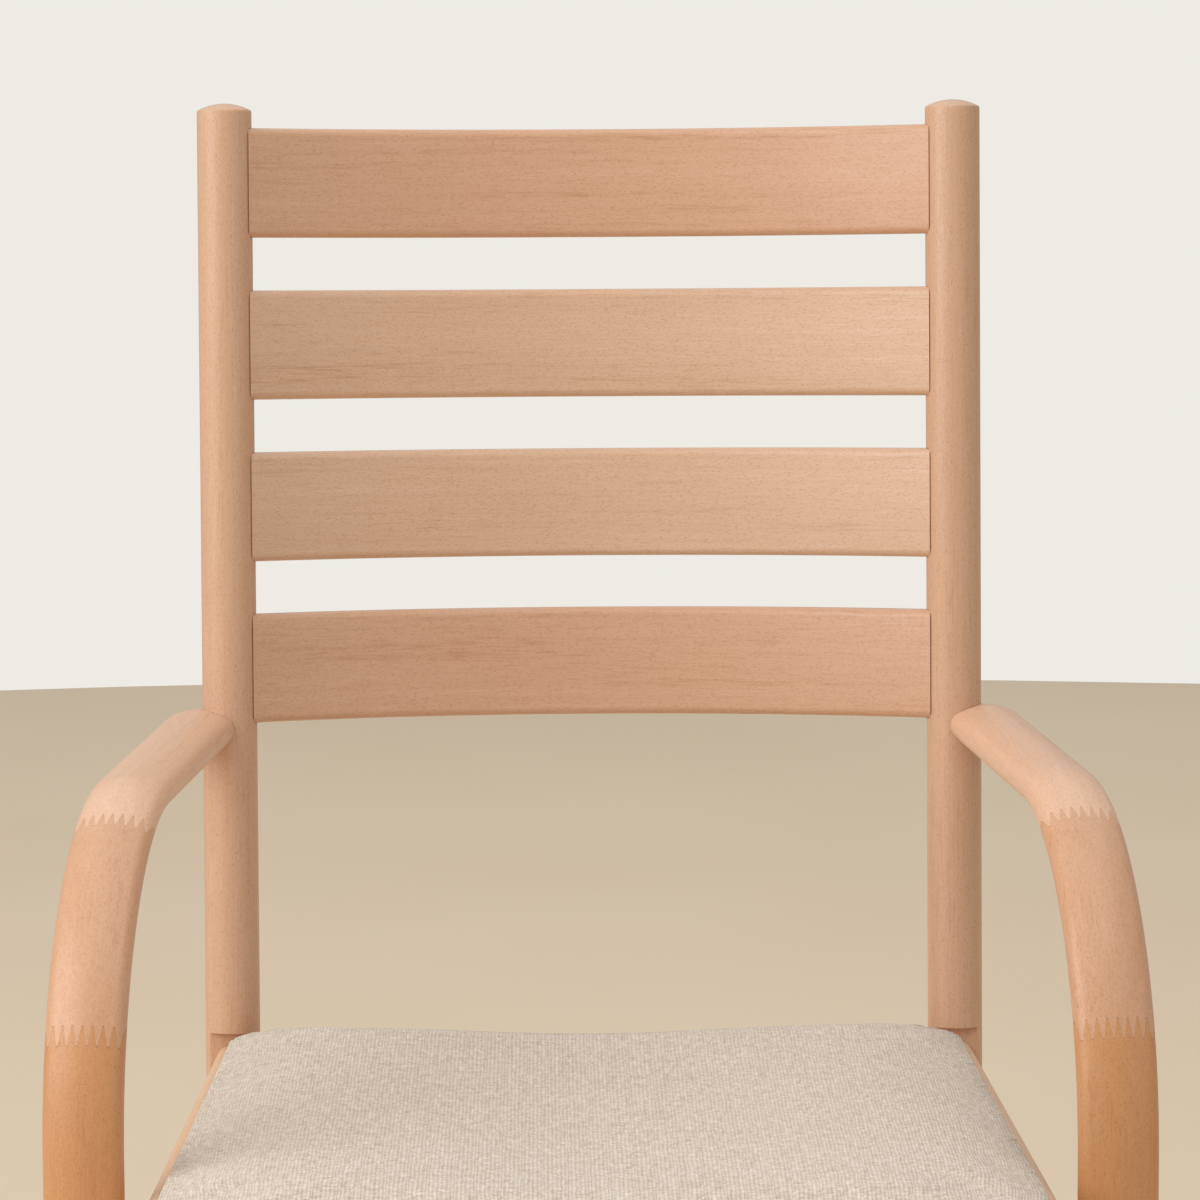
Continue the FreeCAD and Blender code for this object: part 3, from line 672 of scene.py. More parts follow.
def plywood(name, tone):
    """Plywood: a veneer face with long grain, and plies that alternate through its thickness."""
    ply = 0.0028
    material, tree, shader = new_material(name)
    place = object_place(tree)
    grain = noise(tree, place, (6.0, 320.0, 40.0), detail=4.0)
    plies = waves(tree, place, 0.314 / ply, 0.3, "Z")
    level = maths(tree, "MULTIPLY_ADD", plies, 0.35, maths(tree, "MULTIPLY", grain, 0.65))
    paint = ramp(tree, level, [(0.2, toned(tone, 0.72, 0.62, 0.52)), (0.75, tone)])
    fill_inputs(tree, shader, {"Base Color": paint,
                               "Roughness": ranged(tree, grain, 0.2, 0.8, 0.75, 0.55)})
    bumped(tree, shader, grain, 0.3, 0.0003)
    return material


def floor_finish(name, tone):
    """Plain pale floor with a faint cloud of tone."""
    material, tree, shader = new_material(name)
    cloud = noise(tree, object_place(tree), (1.4, 1.4, 1.4), detail=2.0)
    paint = ramp(tree, cloud, [(0.3, toned(tone, 0.97, 0.96, 0.95)), (0.7, tone)])
    fill_inputs(tree, shader, {"Base Color": paint, "Roughness": 0.6, "Specular IOR Level": 0.3})
    return material


# Finishing pieces

def place_piece(piece, material, slot, *nodes):
    """Give a piece its material, hang it under the root and hide the nodes of the frame that it stands for.
    """
    piece.data.materials.clear()
    piece.data.materials.append(material)
    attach(piece, "root")
    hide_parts(*nodes)


def finish_node(name, material):
    """Give a node of the frame its material."""
    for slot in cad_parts[name].material_slots:
        slot.material = material


def grain_turn(across, back, rise):
    """Rotation of coordinates that brings a grain direction to X."""
    turn = Vector((across, back, rise)).rotation_difference(Vector((1.0, 0.0, 0.0)))
    return tuple(turn.to_euler())


# Back

def post_skin(places, back, seat):
    """Bent rod with flats: each ring is a circle whose points are held behind a plane.

    In a ring, p points to the middle of the chair and q forward. p is held to the depth of the
    slats' flats beside a slat, and q to the depth of the housing beside the side rail."""
    radius = places.post_radius
    flat = radius - back.flat_depth
    housing = places.housing
    special = [math.acos(flat / radius), -math.acos(flat / radius),
               math.pi / 2 - math.acos(housing / radius), math.pi / 2 + math.acos(housing / radius)]
    around = np.unique(np.round(np.concatenate([
        np.linspace(0.0, 2 * math.pi, 96, endpoint=False), np.array(special) % (2 * math.pi)]), 6))
    crown = (radius ** 2 + back.post_dome ** 2) / (2 * back.post_dome)
    rim = radius - back.edge_break
    top = back.post_length
    dome_radii = rim * np.sin(np.linspace(0.02, 1.0, 14) * math.pi / 2)
    dome_heights = top + np.sqrt(crown ** 2 - dome_radii ** 2) - (crown - back.post_dome)
    quarter = np.linspace(0.0, math.pi / 2, 5)[1:]
    edge_radii = rim + back.edge_break * np.sin(quarter)
    edge_heights = top - back.edge_break + (dome_heights[-1] - top + back.edge_break) * np.cos(quarter)

    height = places.rail_top - places.rail_bottom
    low_housing = -height - back.housing_reveal
    high_housing = back.housing_reveal
    slats = slat_spans(back)
    tangent = back.bend_radius * math.tan((back.lean + back.rake) / 2)
    bend_start = tangent - back.bend_drop
    step = 4e-5
    back_rail = (-height - seat.back_rail_drop, -seat.back_rail_drop)
    flats = slats + [back_rail]
    edges = np.array([low_housing, high_housing] + [value for span in flats for value in span])
    plain = np.linspace(top - back.edge_break, bend_start, 120)
    heights = np.concatenate([plain[1:], edges - step, edges + step])
    heights = np.unique(heights[(heights >= bend_start) & (heights < top - back.edge_break)])[::-1]

    rows = [(rho, 0.0, h, 0.0) for rho, h in zip(dome_radii, dome_heights)]
    rows += [(rho, 0.0, h, 0.0) for rho, h in zip(edge_radii, edge_heights)]
    rows += [(radius, 0.0, h, 0.0) for h in heights]
    swing = back.lean + back.rake
    for turn in np.linspace(0.0, swing, 24)[1:]:
        depth = back.bend_radius * (1 - math.cos(turn))
        rows.append((radius, depth, bend_start - back.bend_radius * math.sin(turn), turn))
    bend_end_depth = back.bend_radius * (1 - math.cos(swing))
    bend_end_height = bend_start - back.bend_radius * math.sin(swing)
    drop_to_floor = (bend_end_height * math.cos(back.lean) - bend_end_depth * math.sin(back.lean)
                     + places.rail_top - places.glide_top) / math.cos(back.rake)
    for reach in np.linspace(0.0, drop_to_floor, 40)[1:]:
        rows.append((radius, bend_end_depth + reach * math.sin(swing),
                     bend_end_height - reach * math.cos(swing), swing))
    rho, depth, rise, turn = np.array(rows).T

    p = rho[:, None] * np.cos(around)[None, :]
    q = rho[:, None] * np.sin(around)[None, :]
    in_slat = np.zeros(len(rise), dtype=bool)
    for low, high in flats:
        in_slat |= (rise > low) & (rise < high) & (turn == 0)
    in_housing = (rise > low_housing) & (rise < high_housing)
    p = np.where(in_slat[:, None], np.minimum(p, flat), p)
    q = np.where(in_housing[:, None], np.minimum(q, housing), q)
    across = places.post_x - p
    y = depth[:, None] - q * np.cos(turn)[:, None]
    z = rise[:, None] - q * np.sin(turn)[:, None]
    rings = leaned(np.stack([across, y, z], axis=-1), places, back.lean)
    floor = places.glide_top
    lowest = rings[-1]
    run = np.array([0.0, math.sin(back.rake), -math.cos(back.rake)])
    foot = lowest + ((floor - lowest[:, 2]) / run[2])[:, None] * run
    above = foot - run * back.edge_break
    inner = foot.mean(axis=0) + (foot - foot.mean(axis=0)) * (1 - back.edge_break / radius)
    rings = np.concatenate([rings[:-2], above[None], inner[None]])
    return tube(rings)


def slat_spans(back):
    """Lower and upper edge of each slat above the rail top, on the upright back, lowest first."""
    spans = []
    for index in range(back.slat_count):
        high = back.post_length - back.top_slat_drop - (back.slat_count - 1 - index) * back.slat_pitch
        spans.append((high - back.slat_height, high))
    return spans


def bolt_places(places, back, seat):
    """Seat and direction of the two bolts behind a right post, where their heads bear."""
    spread = 0.026
    recess = 0.003
    middle = (places.rail_top + places.rail_bottom) / 2
    forward = np.array([math.sin(seat.rail_splay), -math.cos(seat.rail_splay), 0.0])
    line_x = places.frame_half - seat.rail_thickness / 2 / math.cos(seat.rail_splay)
    spots = []
    for height in (middle - spread / 2, middle + spread / 2):
        behind = (height - places.rail_top) * math.tan(back.lean) + places.post_radius - recess
        x = line_x - behind * math.tan(seat.rail_splay)
        spots.append(np.array([x, places.post_y + behind, height]))
    return spots, forward


class ARMCHAIR_OT_rear_posts(bpy.types.Operator):
    """Make the two bent back posts with their flats, housings and bolt recesses"""

    bl_idname = "armchair.rear_posts"
    bl_label = "Back posts"

    def execute(self, context):
        scene = context.scene
        back = scene.armchair_back
        seat = scene.armchair_seat
        places = Places(scene)
        skin = post_skin(places, back, seat)
        spots, forward = bolt_places(places, back, seat)
        recess_radius = 0.0071
        for name, side in SIDES.items():
            post = new_object("rear_post_" + name, mirrored(skin, side))
            holes = [rod(spot, -forward, places.post_radius, recess_radius)
                     for spot in spots]
            cut_away(post, [mirrored(hole, side) for hole in holes])
            post.name = "post_" + name
            wood = beech("post_beech_" + name, scene.armchair_colours.post,
                         grain_turn(0.0, math.sin(back.lean), math.cos(back.lean)), seed=2.0 + side)
            place_piece(post, wood, "post_wood", "rear_post_" + name)
        return {"FINISHED"}


def slat_skin(places, back, span, samples=97):
    """Curved slat: a rounded rectangle carried along an arc about an upright axis in front.

    A point at depth n from the middle of the section runs on a circle of radius R + n, and both of
    its ends lie on the flats of the posts."""
    half_t = back.slat_thickness / 2
    half_h = back.slat_height / 2
    section = rounded_outline([(-half_t, -half_h), (half_t, -half_h), (half_t, half_h), (-half_t, half_h)],
                              [back.slat_edge] * 4, 8)
    depth, rise = section.T
    reach = places.shoulder_x + INTO_POST
    centre_y = -math.sqrt(back.slat_radius ** 2 - places.shoulder_x ** 2)
    radius = back.slat_radius + depth
    share = np.linspace(-1.0, 1.0, samples)[:, None]
    swing = share * np.arcsin(reach / radius)[None, :]
    middle = (span[0] + span[1]) / 2
    across = radius * np.sin(swing)
    y = centre_y + radius * np.cos(swing)
    z = np.broadcast_to(middle + rise, across.shape)
    rings = leaned(np.stack([across, y, z], axis=-1), places, back.lean)
    grain = np.stack([back.slat_radius * swing, z, np.broadcast_to(depth, z.shape)], axis=-1)
    flat = grain.reshape(-1, 3)
    grain = np.concatenate([flat, grain[:1].mean(axis=1), grain[-1:].mean(axis=1)])
    return tube(rings), grain


class ARMCHAIR_OT_back_slats(bpy.types.Operator):
    """Make the curved slats between the back posts"""

    bl_idname = "armchair.back_slats"
    bl_label = "Back slats"

    def execute(self, context):
        scene = context.scene
        back = scene.armchair_back
        colours = scene.armchair_colours
        places = Places(scene)
        for index, span in enumerate(slat_spans(back)):
            number = index + 1
            outer = number in (1, back.slat_count)
            tone = colours.slat if outer else colours.slat_pale
            skin, grain = slat_skin(places, back, span)
            slat = new_object("slat_%d" % number, skin, grain=grain)
            wood = beech("slat_beech_%d" % number, tone, seed=3.0 * number, attribute="grain")
            place_piece(slat, wood, "slat_wood", "back_slat_%d" % number)
        return {"FINISHED"}


# Arms

def oval_half(arms, lateral):
    """Half thickness of the flat oval at a distance from its middle.

    The broad faces are arcs of a large crown radius and the narrow sides arcs of a small one."""
    half_w = arms.width / 2
    half_t = arms.thickness / 2
    side = arms.side_radius
    reach = half_w - side
    crown = (reach ** 2 + half_t ** 2 - side ** 2) / (2 * (half_t - side))
    join = reach * crown / math.hypot(reach, crown - half_t)
    far = np.minimum(np.abs(lateral), half_w)
    broad = np.sqrt(crown ** 2 - np.minimum(far, join) ** 2) - (crown - half_t)
    narrow = np.sqrt(np.maximum(side ** 2 - np.maximum(far - reach, 0.0) ** 2, 0.0))
    return np.where(far <= join, broad, narrow)


def oval_laterals(arms):
    """Places across the bar: the corners of every finger, and closer ones round the sides."""
    half_w = arms.width / 2
    reach = half_w - arms.side_radius
    teeth = np.arange(-10, 11) * arms.finger_pitch / 2
    tips = np.concatenate([teeth - arms.finger_tip / 2, teeth + arms.finger_tip / 2])
    turn = np.linspace(0.0, math.radians(70.0), 12)
    round_side = reach + arms.side_radius * np.cos(turn)
    spots = np.concatenate([tips, round_side, -round_side])
    spots = np.unique(np.round(spots[np.abs(spots) <= half_w + 1e-9], 7))
    return np.concatenate([spots[:1], spots[1:][np.diff(spots) > 4e-5]])


def finger_offset(arms, lateral):
    """How far ahead a finger joint lies across the bar: a wave with straight flanks and blunt ends."""
    pitch = arms.finger_pitch
    flat = arms.finger_tip / 2
    away = np.abs((lateral + pitch / 2) % pitch - pitch / 2)
    climb = np.clip((away - flat) / (pitch / 2 - 2 * flat), 0.0, 1.0)
    return arms.finger_length * (climb - 0.5)


def bar_points(places, arms, lateral, normal, run):
    """Points of the arm bar from their place across it, off its middle, and run along it.

    The middle line goes straight ahead, round a quarter circle and straight down."""
    turn = np.clip((run - places.arm_straight) / arms.bend_radius, 0.0, math.pi / 2)
    straight = np.minimum(run, places.arm_straight)
    drop = np.maximum(run - places.arm_straight - arms.bend_radius * math.pi / 2, 0.0)
    ahead = straight + (arms.bend_radius + normal) * np.sin(turn)
    z = places.arm_z - arms.bend_radius - drop + (arms.bend_radius + normal) * np.cos(turn)
    spin = places.arm_turn
    x = places.arm_x + ahead * math.sin(spin) + lateral * math.cos(spin)
    y = places.arm_y - ahead * math.cos(spin) + lateral * math.sin(spin)
    return np.stack([x, y, z], axis=-1)


def joint_run(places, arms, joint, lateral, normal, gap):
    """Run at which the bar meets a finger joint, where the joint's teeth stand along its tangent."""
    offset = finger_offset(arms, lateral) + gap
    start = places.arm_straight + arms.bend_radius * joint
    return start + arms.bend_radius * np.arcsin(offset / (arms.bend_radius + normal))


def bar_skin(places, arms, lateral, normal, runs, glue):
    """Skin of a length of the bar, with each end closed by a strip across its thickness.

    All arrays have a row for each station and a column for each place across: first along the
    upper face and then, with the normal's sign turned, along the lower."""
    upper = bar_points(places, arms, lateral, normal, runs[0])
    lower = bar_points(places, arms, lateral, -normal, runs[1])
    rows, columns = upper.shape[:2]
    skins = [(face.reshape(-1, 3), grid_faces(rows, columns)) for face in (upper, lower)]
    for row in (0, -1):
        end = np.stack([upper[row], lower[row]])
        skins.append((end.reshape(-1, 3), grid_faces(2, columns)))
    marks = [glue.ravel(), glue.ravel()]
    marks += [np.tile(glue[row], 2) for row in (0, -1)]
    return joined(*skins), np.concatenate(marks)


def bar_length(places, arms, start, end, rear_end=False, foot=False):
    """One length of the bar between two joints, given as angles on the bend, or its free ends."""
    lateral = oval_laterals(arms)
    half = oval_half(arms, lateral)
    margin = arms.finger_length
    lead = 0.0004
    quarter = arms.bend_radius * math.pi / 2
    full_run = places.arm_straight + quarter + places.arm_z - arms.bend_radius - places.glide_top
    firsts = [np.full_like(lateral, arms.width / 2 - (places.post_radius - arms.end_inset))
              if rear_end else joint_run(places, arms, start, lateral, half * sign, arms.joint_gap)
              for sign in (1.0, -1.0)]
    lasts = [np.full_like(lateral, full_run)
             if foot else joint_run(places, arms, end, lateral, half * sign, -arms.joint_gap)
             for sign in (1.0, -1.0)]
    low = np.max(firsts) + (0.0 if rear_end else margin / 4)
    high = np.min(lasts) - margin / 4
    sides = []
    for sign, first, last in zip((1.0, -1.0), firsts, lasts):
        normal = half * sign
        rows = []
        if rear_end:
            inset = arms.width / 2 - (places.post_radius - arms.end_inset)
            for swing in np.linspace(math.pi / 2, 0.0, 20)[:-1]:
                across = lateral * math.cos(swing)
                back = arms.width / 2 * math.sin(swing)
                rows.append((across, oval_half(arms, np.hypot(across, back)) * sign,
                             np.full_like(lateral, inset - back), 0.0))
        if not rear_end:
            rows.append((lateral, normal, first, 1.0))
            rows.append((lateral, normal, first + lead, 0.0))
        stations = np.linspace(low, high, 60)
        for run in stations:
            rows.append((lateral, normal, np.full_like(lateral, run), 0.0))
        if foot:
            ease = 0.001
            shrink = 1.0 - ease / (arms.width / 2)
            rows[-1] = (lateral, normal, np.full_like(lateral, full_run - ease), 0.0)
            rows.append((lateral * shrink, normal * (1.0 - ease / (arms.thickness / 2)), last, 0.0))
        else:
            rows.append((lateral, normal, last - lead, 0.0))
            rows.append((lateral, normal, last, 1.0))
        sides.append([np.array([np.broadcast_to(row[part], lateral.shape) for row in rows])
                      for part in range(4)])
    upper, lower = sides
    return bar_skin(places, arms, upper[0], upper[1], (upper[2], lower[2]), upper[3])


class ARMCHAIR_OT_arms(bpy.types.Operator):
    """Make the arms, their finger-jointed corners and the front legs"""

    bl_idname = "armchair.arms"
    bl_label = "Arms and front legs"

    def execute(self, context):
        scene = context.scene
        arms = scene.armchair_arms
        back = scene.armchair_back
        colours = scene.armchair_colours
        places = Places(scene)
        rail = bar_length(places, arms, None, arms.first_joint, rear_end=True)
        corner = bar_length(places, arms, arms.first_joint, arms.second_joint)
        leg = bar_length(places, arms, arms.second_joint, None, foot=True)
        up = np.array([0.0, math.sin(back.lean), math.cos(back.lean)])
        cut_height = 0.1
        low_spot = np.array([places.post_x, places.arm_y, places.arm_z]) - up * cut_height / 2
        plug = np.array([places.arm_x, places.arm_y, places.arm_z])
        plug_radius = arms.plug_diameter / 2 + arms.fitting_gap
        cutters = [rod(low_spot, up, cut_height, places.post_radius + arms.fitting_gap, 128),
                   rod(plug, (1.0, 0.0, 0.0), arms.width, plug_radius)]
        turn = places.arm_turn
        for name, side in SIDES.items():
            level = grain_turn(side * math.sin(turn), -math.cos(turn), 0.0)
            steep = grain_turn(side * math.sin(turn), -math.cos(turn), -1.0)
            upright = grain_turn(0.0, 0.0, 1.0)
            for title, (skin, glue), grain, tone, slot in (
                    ("arm_rail", rail, level, colours.arm, "arm_wood"),
                    ("arm_corner", corner, steep, colours.corner, "corner_wood"),
                    ("front_leg", leg, upright, colours.leg, "leg_wood")):
                piece = new_object(title + "_piece_" + name, mirrored(skin, side), glue=glue)
                if title == "arm_rail":
                    cut_away(piece, [mirrored(cutter, side) for cutter in cutters])
                wood = beech("%s_beech_%s" % (title, name), tone, grain,
                             seed=5.0 + 2.0 * side + len(title), glue="glue")
                place_piece(piece, wood, slot, "%s_%s" % (title, name))
        return {"FINISHED"}


# Seat frame

def side_rail_skin(places, back, seat):
    """Right side rail: its outline carried along its splayed line, from the housing to the front."""
    height = places.rail_top - places.rail_bottom
    half = seat.rail_thickness / 2
    soft = seat.rail_edge / 2
    outline = rounded_outline([(half, 0.0), (half, height), (-half, height), (-half, 0.0)],
                              [soft, seat.rail_edge, soft, soft])
    splay = seat.rail_splay
    sideways = (math.cos(splay), math.sin(splay), 0.0)
    along = (math.sin(splay), -math.cos(splay), 0.0)
    origin = (places.frame_half - half / math.cos(splay), places.post_y, places.rail_bottom)
    lean = back.lean
    housing_place = (0.0, places.post_y - places.housing * math.cos(lean),
                     places.rail_top + places.housing * math.sin(lean))
    ends = ((housing_place, (0.0, math.cos(lean), -math.sin(lean))),
            ((0.0, places.front_y, 0.0), (0.0, 1.0, 0.0)))
    return bar(outline, origin, (sideways, (0.0, 0.0, 1.0), along), ends)


def cross_bar(low, high, ends, edge, axes=((0.0, 1.0, 0.0), (0.0, 0.0, 1.0)), origin=(0.0, 0.0, 0.0)):
    """Rail from side to side: a rounded rectangle in depth and height, between two end planes."""
    outline = rounded_outline([(low[0], low[1]), (high[0], low[1]), (high[0], high[1]), (low[0], high[1])],
                              [edge] * 4)
    return bar(outline, origin, (*axes, (1.0, 0.0, 0.0)), ends)


def square_ends(reach):
    """Two end planes square to X, as far to the left of the middle as to the right."""
    return tuple(((side * reach, 0.0, 0.0), (1.0, 0.0, 0.0)) for side in SIDES.values())


def place_rail(name, skin, wood, node):
    """Make one rail of the seat frame and put it in its place."""
    place_piece(new_object(name, skin), wood, "rail_wood", node)


class ARMCHAIR_OT_seat_frame(bpy.types.Operator):
    """Make the rails of the seat frame and the rail between the front legs"""

    bl_idname = "armchair.seat_frame"
    bl_label = "Seat frame"

    def execute(self, context):
        scene = context.scene
        back = scene.armchair_back
        seat = scene.armchair_seat
        colours = scene.armchair_colours
        places = Places(scene)
        splay = seat.rail_splay
        side_skin = side_rail_skin(places, back, seat)
        for name, side in SIDES.items():
            wood = beech("side_rail_beech_" + name, colours.rail,
                         grain_turn(side * math.sin(splay), -math.cos(splay), 0.0), seed=9.0 + side)
            place_rail("side_rail_piece_" + name, mirrored(side_skin, side), wood, "side_rail_" + name)

        inner = places.frame_half - seat.rail_thickness / math.cos(splay)
        inner_place = (inner, places.post_y, 0.0)
        inner_normal = (math.cos(splay), math.sin(splay), 0.0)
        frame_ends = [[np.array(part) * (side, 1, 1) for part in (inner_place, inner_normal)]
                      for side in SIDES.values()]
        for index, name in enumerate(("rear_rail", "front_rail")):
            low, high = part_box(name)
            skin = cross_bar((low.y, low.z), (high.y, high.z), frame_ends, seat.cross_edge)
            wood = beech(name + "_beech", colours.rail, seed=14.0 + index)
            place_rail(name + "_piece", skin, wood, name)

        low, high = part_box("front_cross_rail")
        short_of_leg = 0.0095
        ends = square_ends(places.leg_x - short_of_leg)
        skin = cross_bar((low.y, low.z), (high.y, high.z), ends, seat.cross_edge)
        wood = beech("cross_rail_beech", colours.rail, seed=17.0)
        place_rail("cross_rail_piece", skin, wood, "front_cross_rail")

        lean = back.lean
        half = seat.rail_thickness / 2
        top = -seat.back_rail_drop
        bottom = top - (places.rail_top - places.rail_bottom)
        axes = ((0.0, math.cos(lean), -math.sin(lean)), (0.0, math.sin(lean), math.cos(lean)))
        ends = square_ends(places.shoulder_x + INTO_POST)
        skin = cross_bar((-half, bottom), (half, top), ends, seat.cross_edge, axes,
                         (0.0, places.post_y, places.rail_top))
        wood = beech("back_rail_beech", colours.rail, seed=19.0)
        place_rail("back_rail_piece", skin, wood, "back_rail")
        return {"FINISHED"}


# Cushion

def seat_outline(places, seat, inset):
    """Plan outline of the cushion, drawn in by an inset."""
    rear = places.cushion_high.y - inset
    front = places.cushion_low.y + inset
    rear_x = places.outer_x(seat, rear) - seat.margin - inset
    front_x = places.outer_x(seat, front) - seat.margin - inset
    rear_corner = max(seat.rear_corner - inset, seat.edge_roll)
    front_corner = max(seat.front_corner - inset, seat.edge_roll)
    return rounded_outline([(rear_x, rear), (front_x, front), (-front_x, front), (-rear_x, rear)],
                           [rear_corner, front_corner, front_corner, rear_corner], 24)


def spaced(outline, count):
    """The same outline with its points at even distances."""
    closed = np.concatenate([outline, outline[:1]])
    travel = np.concatenate([[0.0], np.cumsum(np.linalg.norm(np.diff(closed, axis=0), axis=1))])
    spots = np.linspace(0.0, travel[-1], count, endpoint=False)
    return np.stack([np.interp(spots, travel, closed[:, axis]) for axis in (0, 1)], axis=-1)


def cushion_skin(places, seat, inset, lowered):
    """Closed pad: rings from the middle of the top out to the edge, round it and back underneath."""
    low = places.cushion_low.z
    high = places.cushion_high.z - lowered
    roll = seat.edge_roll
    edge = spaced(seat_outline(places, seat, inset), 360)
    middle = (edge.max(axis=0) + edge.min(axis=0)) / 2
    inner = 1.0 - roll / (edge.max(axis=0) - middle)
    rows = [(share * inner, high) for share in np.linspace(0.02, 1.0, 24)]
    for turn in np.linspace(0.0, math.pi / 2, 8)[1:]:
        rows.append((inner + (1 - inner) * math.sin(turn), high - roll * (1 - math.cos(turn))))
    rows += [(np.ones(2), z) for z in np.linspace(high - roll, low, 4)[1:]]
    rows += [(share * np.ones(2), low) for share in np.linspace(1.0, 0.02, 24)[1:]]
    rings = [np.column_stack([middle + (edge - middle) * share, np.full(len(edge), z)])
             for share, z in rows]
    return tube(np.array(rings))


def mesh_points(mesh):
    """Every point of a mesh as an array."""
    points = np.empty(len(mesh.vertices) * 3, dtype=np.float32)
    mesh.vertices.foreach_get("co", points)
    return points.reshape(-1, 3).astype(float)


def put_points(mesh, points):
    """Write every point of a mesh."""
    mesh.vertices.foreach_set("co", np.ascontiguousarray(points, dtype=np.float32).ravel())
    mesh.update()


def to_edge(plan, outline):
    """For each plan point, the nearest point of the outline, its distance inside and the normal."""
    closed = spaced(outline, 1440)
    ahead = np.roll(closed, -1, axis=0) - np.roll(closed, 1, axis=0)
    normals = np.column_stack([ahead[:, 1], -ahead[:, 0]])
    normals /= np.linalg.norm(normals, axis=1)[:, None]
    normals *= np.sign(((closed - closed.mean(axis=0)) * normals).sum(axis=1))[:, None]
    nearest = np.empty(len(plan), dtype=int)
    for start in range(0, len(plan), 4000):
        block = plan[start:start + 4000]
        gap = ((block[:, None, :] - closed[None, :, :]) ** 2).sum(axis=2)
        nearest[start:start + 4000] = gap.argmin(axis=1)
    spots = closed[nearest]
    inside = ((spots - plan) * normals[nearest]).sum(axis=1)
    return spots, inside, normals[nearest]


def simulate_swelling(piece, places):
    """Blow the pad up a little as cloth, held along its underside, and keep the result."""
    points = mesh_points(piece.data)
    held = piece.vertex_groups.new(name="held")
    under = np.nonzero(points[:, 2] < places.cushion_low.z + 0.003)[0]
    held.add(under.tolist(), 1.0, "REPLACE")
    cloth = piece.modifiers.new("swell", "CLOTH")
    settings = cloth.settings
    settings.vertex_group_mass = "held"
    settings.quality = 6
    settings.mass = 0.3
    settings.tension_stiffness = 40.0
    settings.compression_stiffness = 40.0
    settings.shear_stiffness = 20.0
    settings.bending_stiffness = 2.0
    settings.use_pressure = True
    settings.uniform_pressure_force = 4.0
    settings.effector_weights.gravity = 0.0
    cloth.collision_settings.use_collision = False
    cloth.collision_settings.use_self_collision = False
    cloth.point_cache.frame_start = 1
    cloth.point_cache.frame_end = 20
    scene = bpy.context.scene
    for number in range(1, 21):
        scene.frame_set(number)
        bpy.context.evaluated_depsgraph_get()
    applied(piece)
    scene.frame_set(1)


def shaped_top(points, places, seat):
    """Lower the top along the middle and towards the sides, more at the top than at the bottom.

    Across the seat the height is a raised cosine: a hollow in the middle, highest at the humps,
    and a gentle fall from there to each side."""
    low = places.cushion_low.z
    high = places.cushion_high.z
    weight = np.clip((points[:, 2] - low) / (high - low), 0.0, 1.0)
    across = np.abs(points[:, 0])
    hollow = seat.dish * (0.5 + 0.5 * np.cos(np.clip(across / seat.hump, 0.0, 1.0) * math.pi))
    fall_width = 0.05
    past = np.clip((across - seat.hump) / fall_width, 0.0, 1.5)
    fall = seat.shoulder_fall * past ** 2
    rear = places.cushion_high.y
    front = places.cushion_low.y
    share = np.clip((rear - points[:, 1]) / (rear - front), 0.0, 1.0)
    along = 1.0 - 0.45 * np.clip((share - 0.55) / 0.45, 0.0, 1.0) ** 2
    front_fall = 0.004
    waterfall = front_fall * np.clip((share - 0.86) / 0.14, 0.0, 1.0) ** 2
    sag = 0.0018
    deeper = sag * np.sin(np.clip(share / 0.8, 0.0, 1.0) * math.pi) * (across < 2 * seat.hump)
    lowered = (hollow * along + fall + waterfall + deeper) * weight
    points[:, 2] -= lowered
    return points, lowered


def wrapped(height, inside, under, places, seat):
    """Distances inside the outline once the cloth is drawn tight round the board.

    The wall below the board's top stands on the outline, and above it the distance allowed grows
    as a quarter circle. Underneath, the outermost few millimetres are stretched out to the wall."""
    reach = 0.008
    slack = 0.0022
    board_height = 0.009
    board_top = places.cushion_low.z + board_height
    climb = np.clip((height - board_top) / seat.edge_roll, 0.0, 1.0)
    allowed = seat.edge_roll * (1.0 - np.sqrt(1.0 - climb ** 2))
    near = ~under & (inside < reach)
    tight = np.where(near, np.minimum(inside, allowed), inside)
    stretched = np.maximum(inside - slack, 0.0) * reach / (reach - slack)
    return np.where(under & (inside < reach), stretched, tight)


